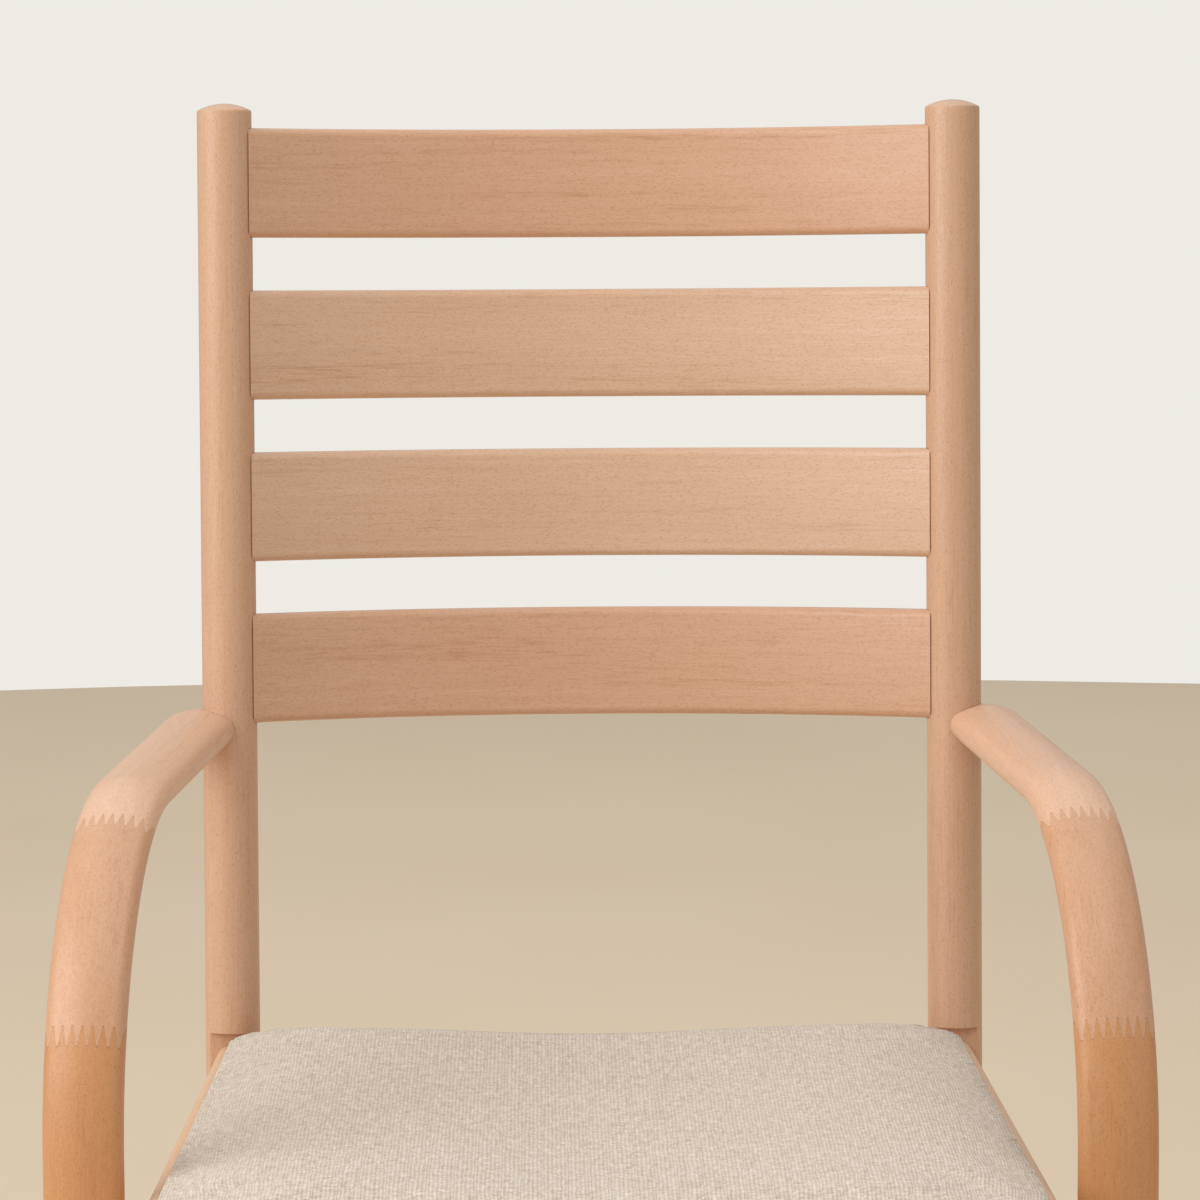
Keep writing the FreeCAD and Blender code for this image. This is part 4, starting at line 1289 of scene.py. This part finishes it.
class ARMCHAIR_OT_cushion(bpy.types.Operator):
    """Make the upholstered seat: a pad swollen as cloth, dished, with its cloth turned under"""

    bl_idname = "armchair.cushion"
    bl_label = "Cushion"

    def execute(self, context):
        scene = context.scene
        seat = scene.armchair_seat
        places = Places(scene)
        start_inset = 0.0012
        lowered = 0.002
        cap = 0.002
        top_slack = 0.0006
        under_depth = 0.0035
        hem_thickness = 0.0009
        pad = new_object("cushion", cushion_skin(places, seat, start_inset, lowered), sharp=180.0)
        remesh = pad.modifiers.new("remesh", "REMESH")
        remesh.mode = "VOXEL"
        remesh.voxel_size = 0.005
        applied(pad)
        start = mesh_points(pad.data)
        simulate_swelling(pad, places)
        swollen = mesh_points(pad.data)
        move = swollen - start
        far = np.linalg.norm(move, axis=1)[:, None]
        swollen = start + move * np.minimum(1.0, cap / np.maximum(far, 1e-9))
        put_points(pad.data, swollen)
        smooth = pad.modifiers.new("even", "SMOOTH")
        smooth.factor = 0.5
        smooth.iterations = 5
        finer = pad.modifiers.new("finer", "SUBSURF")
        finer.levels = 1
        finer.render_levels = 1
        applied(pad)

        points = mesh_points(pad.data)
        outline = seat_outline(places, seat, 0.0)
        low = places.cushion_low.z
        high = places.cushion_high.z
        spots, inside, normals = to_edge(points[:, :2], outline)
        over = np.maximum(-inside, 0.0)
        points[:, :2] -= normals * over[:, None]
        inside = np.maximum(inside, 0.0)
        points[:, 2] = np.minimum(points[:, 2], high + top_slack)
        points, sunk = shaped_top(points, places, seat)
        under = points[:, 2] < low + under_depth
        snug = wrapped(points[:, 2] + sunk, inside, under, places, seat)
        points[:, :2] += normals * (inside - snug)[:, None]
        inside = snug
        points[under, 2] = np.where(inside[under] > seat.hem, low + hem_thickness, low)
        put_points(pad.data, points)

        depth = high - sunk - points[:, 2]
        unrolled = np.where(under, (high - low) + inside, depth - inside)
        weave = spots + normals * unrolled[:, None]
        layer = pad.data.attributes.new("weave", "FLOAT_VECTOR", "POINT")
        flat = np.column_stack([weave, np.zeros(len(weave))]).astype(np.float32)
        layer.data.foreach_set("vector", flat.ravel())
        pad.data.shade_smooth()
        cloth = seat_cloth("seat_cloth", scene.armchair_colours, seat)
        place_piece(pad, cloth, "seat_fabric", "seat_cover", "seat_foam")
        return {"FINISHED"}


# Fittings and the underside

def bolt_head(radius, height, socket, socket_depth):
    """Profile of a round bolt head with softened edges and a six-sided socket."""
    rim = 0.0002
    return [(radius - rim, 0.0, False), (radius, rim, False), (radius, height - 0.0008, False),
            (radius - 0.0003, height - 0.0003, False), (radius - 0.0009, height, False),
            (socket + rim, height, True), (socket, height - rim, True),
            (socket, height - socket_depth, True)]


def glide_profile(radius, height):
    """Profile of a round glide: a quarter circle from the floor up, and a small upper edge."""
    soft = 0.0012
    rim = 0.0002
    profile = [(radius - soft + soft * math.sin(turn), soft * (1 - math.cos(turn)), False)
               for turn in np.linspace(0.0, math.pi / 2, 6)]
    return profile + [(radius, height - rim, False), (radius - rim, height, False)]


class ARMCHAIR_OT_fittings(bpy.types.Operator):
    """Make the bolts and glides, and finish the screws, nuts, plugs and dowels of the frame"""

    bl_idname = "armchair.fittings"
    bl_label = "Fittings"

    def execute(self, context):
        scene = context.scene
        places = Places(scene)
        seat = scene.armchair_seat
        spots, forward = bolt_places(places, scene.armchair_back, seat)
        head = bolt_head(radius=0.007, height=0.0032, socket=0.002, socket_depth=0.002)
        under_head = 0.0001
        shank_length = 0.04
        shank_radius = 0.003
        zinc = metal("zinc_plate", srgb(205, 205, 208), 0.32)
        skins = []
        for side in SIDES.values():
            for spot in spots:
                skins.append(mirrored(turned(head, spot, -forward, sides=6), side))
                shank = rod(spot + forward * under_head, forward, shank_length, shank_radius)
                skins.append(mirrored(shank, side))
        place_piece(new_object("rail_bolts", joined(*skins)), zinc, "zinc_steel", "side_rail_bolts")

        profile = glide_profile(places.glide_radius, places.glide_top)
        feet = []
        for side in SIDES.values():
            for x, y in ((places.post_x, places.foot_y), (places.leg_x, places.leg_y)):
                feet.append(turned(profile, (side * x, y, 0.0), (0.0, 0.0, 1.0)))
        place_piece(new_object("feet_glides", joined(*feet)), nylon("glide_nylon", srgb(206, 200, 190)),
                    "glide_nylon", "foot_glides")

        screws = metal("screw_plate", srgb(196, 190, 172), 0.36)
        for name in ("frame_screws", "block_screws", "seat_screws", "arm_screws", "barrel_nuts"):
            finish_node(name, screws)
        finish_node("cover_staples", metal("staple_wire", srgb(190, 190, 192), 0.3))
        plug = beech("plug_beech", scene.armchair_colours.block, seed=23.0)
        dowel = beech("dowel_beech", scene.armchair_colours.block, seed=27.0, raw=True)
        finish_node("arm_plugs", plug)
        finish_node("rail_dowels", dowel)
        finish_node("leg_dowels", dowel)
        return {"FINISHED"}


class ARMCHAIR_OT_underside(bpy.types.Operator):
    """Finish the corner blocks, the seat board and the cover under the seat"""

    bl_idname = "armchair.underside"
    bl_label = "Underside"

    def execute(self, context):
        colours = context.scene.armchair_colours
        for index, corner in enumerate(("front_left", "front_right", "rear_left", "rear_right")):
            wood = beech("block_beech_" + corner, colours.block,
                         grain_turn(1.0 if corner.endswith("left") else -1.0, 1.0, 0.0),
                         seed=31.0 + index, raw=True)
            finish_node("corner_block_" + corner, wood)
        finish_node("seat_board", plywood("seat_plywood", srgb(222, 190, 148)))
        finish_node("dust_cover", felted_cover("dust_cloth", srgb(58, 56, 54)))
        return {"FINISHED"}


# Stage

def soft_light(name, place, target, size, power):
    """Large square light turned to a target, which the camera doesn't see."""
    data = bpy.data.lights.new(name, "AREA")
    data.shape = "SQUARE"
    data.size = size
    data.energy = power
    light = bpy.data.objects.new(name, data)
    light.location = place
    bpy.context.scene.collection.objects.link(light)
    facing = Vector(target) - light.location
    light.rotation_euler = facing.to_track_quat("-Z", "Y").to_euler()
    light.visible_camera = False


class ARMCHAIR_OT_stage(bpy.types.Operator):
    """Make the floor, the light and the camera"""

    bl_idname = "armchair.stage"
    bl_label = "Stage"

    def execute(self, context):
        scene = context.scene
        stage = scene.armchair_stage
        scene.view_settings.view_transform = "Standard"
        scene.view_settings.look = "None"

        around = np.linspace(0.0, 2 * math.pi, 96, endpoint=False)
        middle, rim, under = 0.5, 4.43, -0.02
        rings = np.array([[np.array([r * math.cos(t), r * math.sin(t), z]) for t in around]
                          for r, z in ((middle, 0.0), (rim, 0.0), (rim, under), (middle, under))])
        floor = new_object("floor", tube(rings))
        floor.data.materials.append(floor_finish("floor_finish", tuple(stage.floor)))

        world = bpy.data.worlds.new("studio")
        world.use_nodes = True
        scene.world = world
        tree = world.node_tree
        background = tree.nodes["Background"]
        seen = add_node(tree, "ShaderNodeLightPath", {}).outputs["Is Camera Ray"]
        fill_inputs(tree, background, {"Color": (*stage.backdrop, 1.0),
                                       "Strength": ranged(tree, seen, 0.0, 1.0, stage.ambient, 1.0)})

        target = (0.0, 0.0, 0.6)
        soft_light("key", (-2.6, -1.5, 2.1), target, 2.7, stage.key)
        soft_light("fill", (2.4, -2.2, 1.3), target, 2.0, stage.fill)
        soft_light("overhead", (0.1, -0.5, 3.0), target, 2.8, stage.top)
        soft_light("rear", (0.0, 2.9, 3.0), (0.0, 3.0, 0.0), 4.0, stage.rear)

        data = bpy.data.cameras.new("camera")
        data.lens = stage.lens
        data.sensor_width = 36.0
        camera = bpy.data.objects.new("camera", data)
        scene.collection.objects.link(camera)
        yaw, pitch, roll = stage.yaw, stage.pitch, stage.roll
        ahead = Vector((math.sin(yaw) * math.cos(pitch), math.cos(yaw) * math.cos(pitch), -math.sin(pitch)))
        right = Vector((math.cos(yaw), -math.sin(yaw), 0.0))
        up = right.cross(ahead)
        x_axis = right * math.cos(roll) + up * math.sin(roll)
        y_axis = up * math.cos(roll) - right * math.sin(roll)
        turn = Matrix((x_axis, y_axis, -ahead)).transposed()
        camera.matrix_world = Matrix.Translation(Vector(stage.camera)) @ turn.to_4x4()
        scene.camera = camera
        return {"FINISHED"}


class ARMCHAIR_PT_sidebar(bpy.types.Panel):
    """Lists the steps that build the chair"""

    bl_idname = "ARMCHAIR_PT_sidebar"
    bl_label = "Ladder-back armchair"
    bl_space_type = "VIEW_3D"
    bl_region_type = "UI"
    bl_category = "Armchair"

    def draw(self, context):
        for step in STEPS:
            self.layout.operator(step.bl_idname, text=step.bl_label)
        for group in GROUPS:
            box = self.layout.box()
            settings = getattr(context.scene, group)
            for key in GROUPS[group].__annotations__:
                box.prop(settings, key)


STEPS = (
    ARMCHAIR_OT_rear_posts,
    ARMCHAIR_OT_back_slats,
    ARMCHAIR_OT_arms,
    ARMCHAIR_OT_seat_frame,
    ARMCHAIR_OT_cushion,
    ARMCHAIR_OT_fittings,
    ARMCHAIR_OT_underside,
    ARMCHAIR_OT_stage,
)


def register():
    """Register the groups, steps and panel."""
    for key, group in GROUPS.items():
        bpy.utils.register_class(group)
        setattr(bpy.types.Scene, key, PointerProperty(type=group))
    for item in (*STEPS, ARMCHAIR_PT_sidebar):
        bpy.utils.register_class(item)


def unregister():
    """Take the groups, steps and panel away again."""
    for item in reversed((*STEPS, ARMCHAIR_PT_sidebar)):
        bpy.utils.unregister_class(item)
    for key, group in reversed(GROUPS.items()):
        delattr(bpy.types.Scene, key)
        bpy.utils.unregister_class(group)


def main():
    """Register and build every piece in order."""
    register()
    bpy.ops.armchair.rear_posts()
    bpy.ops.armchair.back_slats()
    bpy.ops.armchair.arms()
    bpy.ops.armchair.seat_frame()
    bpy.ops.armchair.cushion()
    bpy.ops.armchair.fittings()
    bpy.ops.armchair.underside()
    bpy.ops.armchair.stage()


if __name__ == "__main__":
    main()
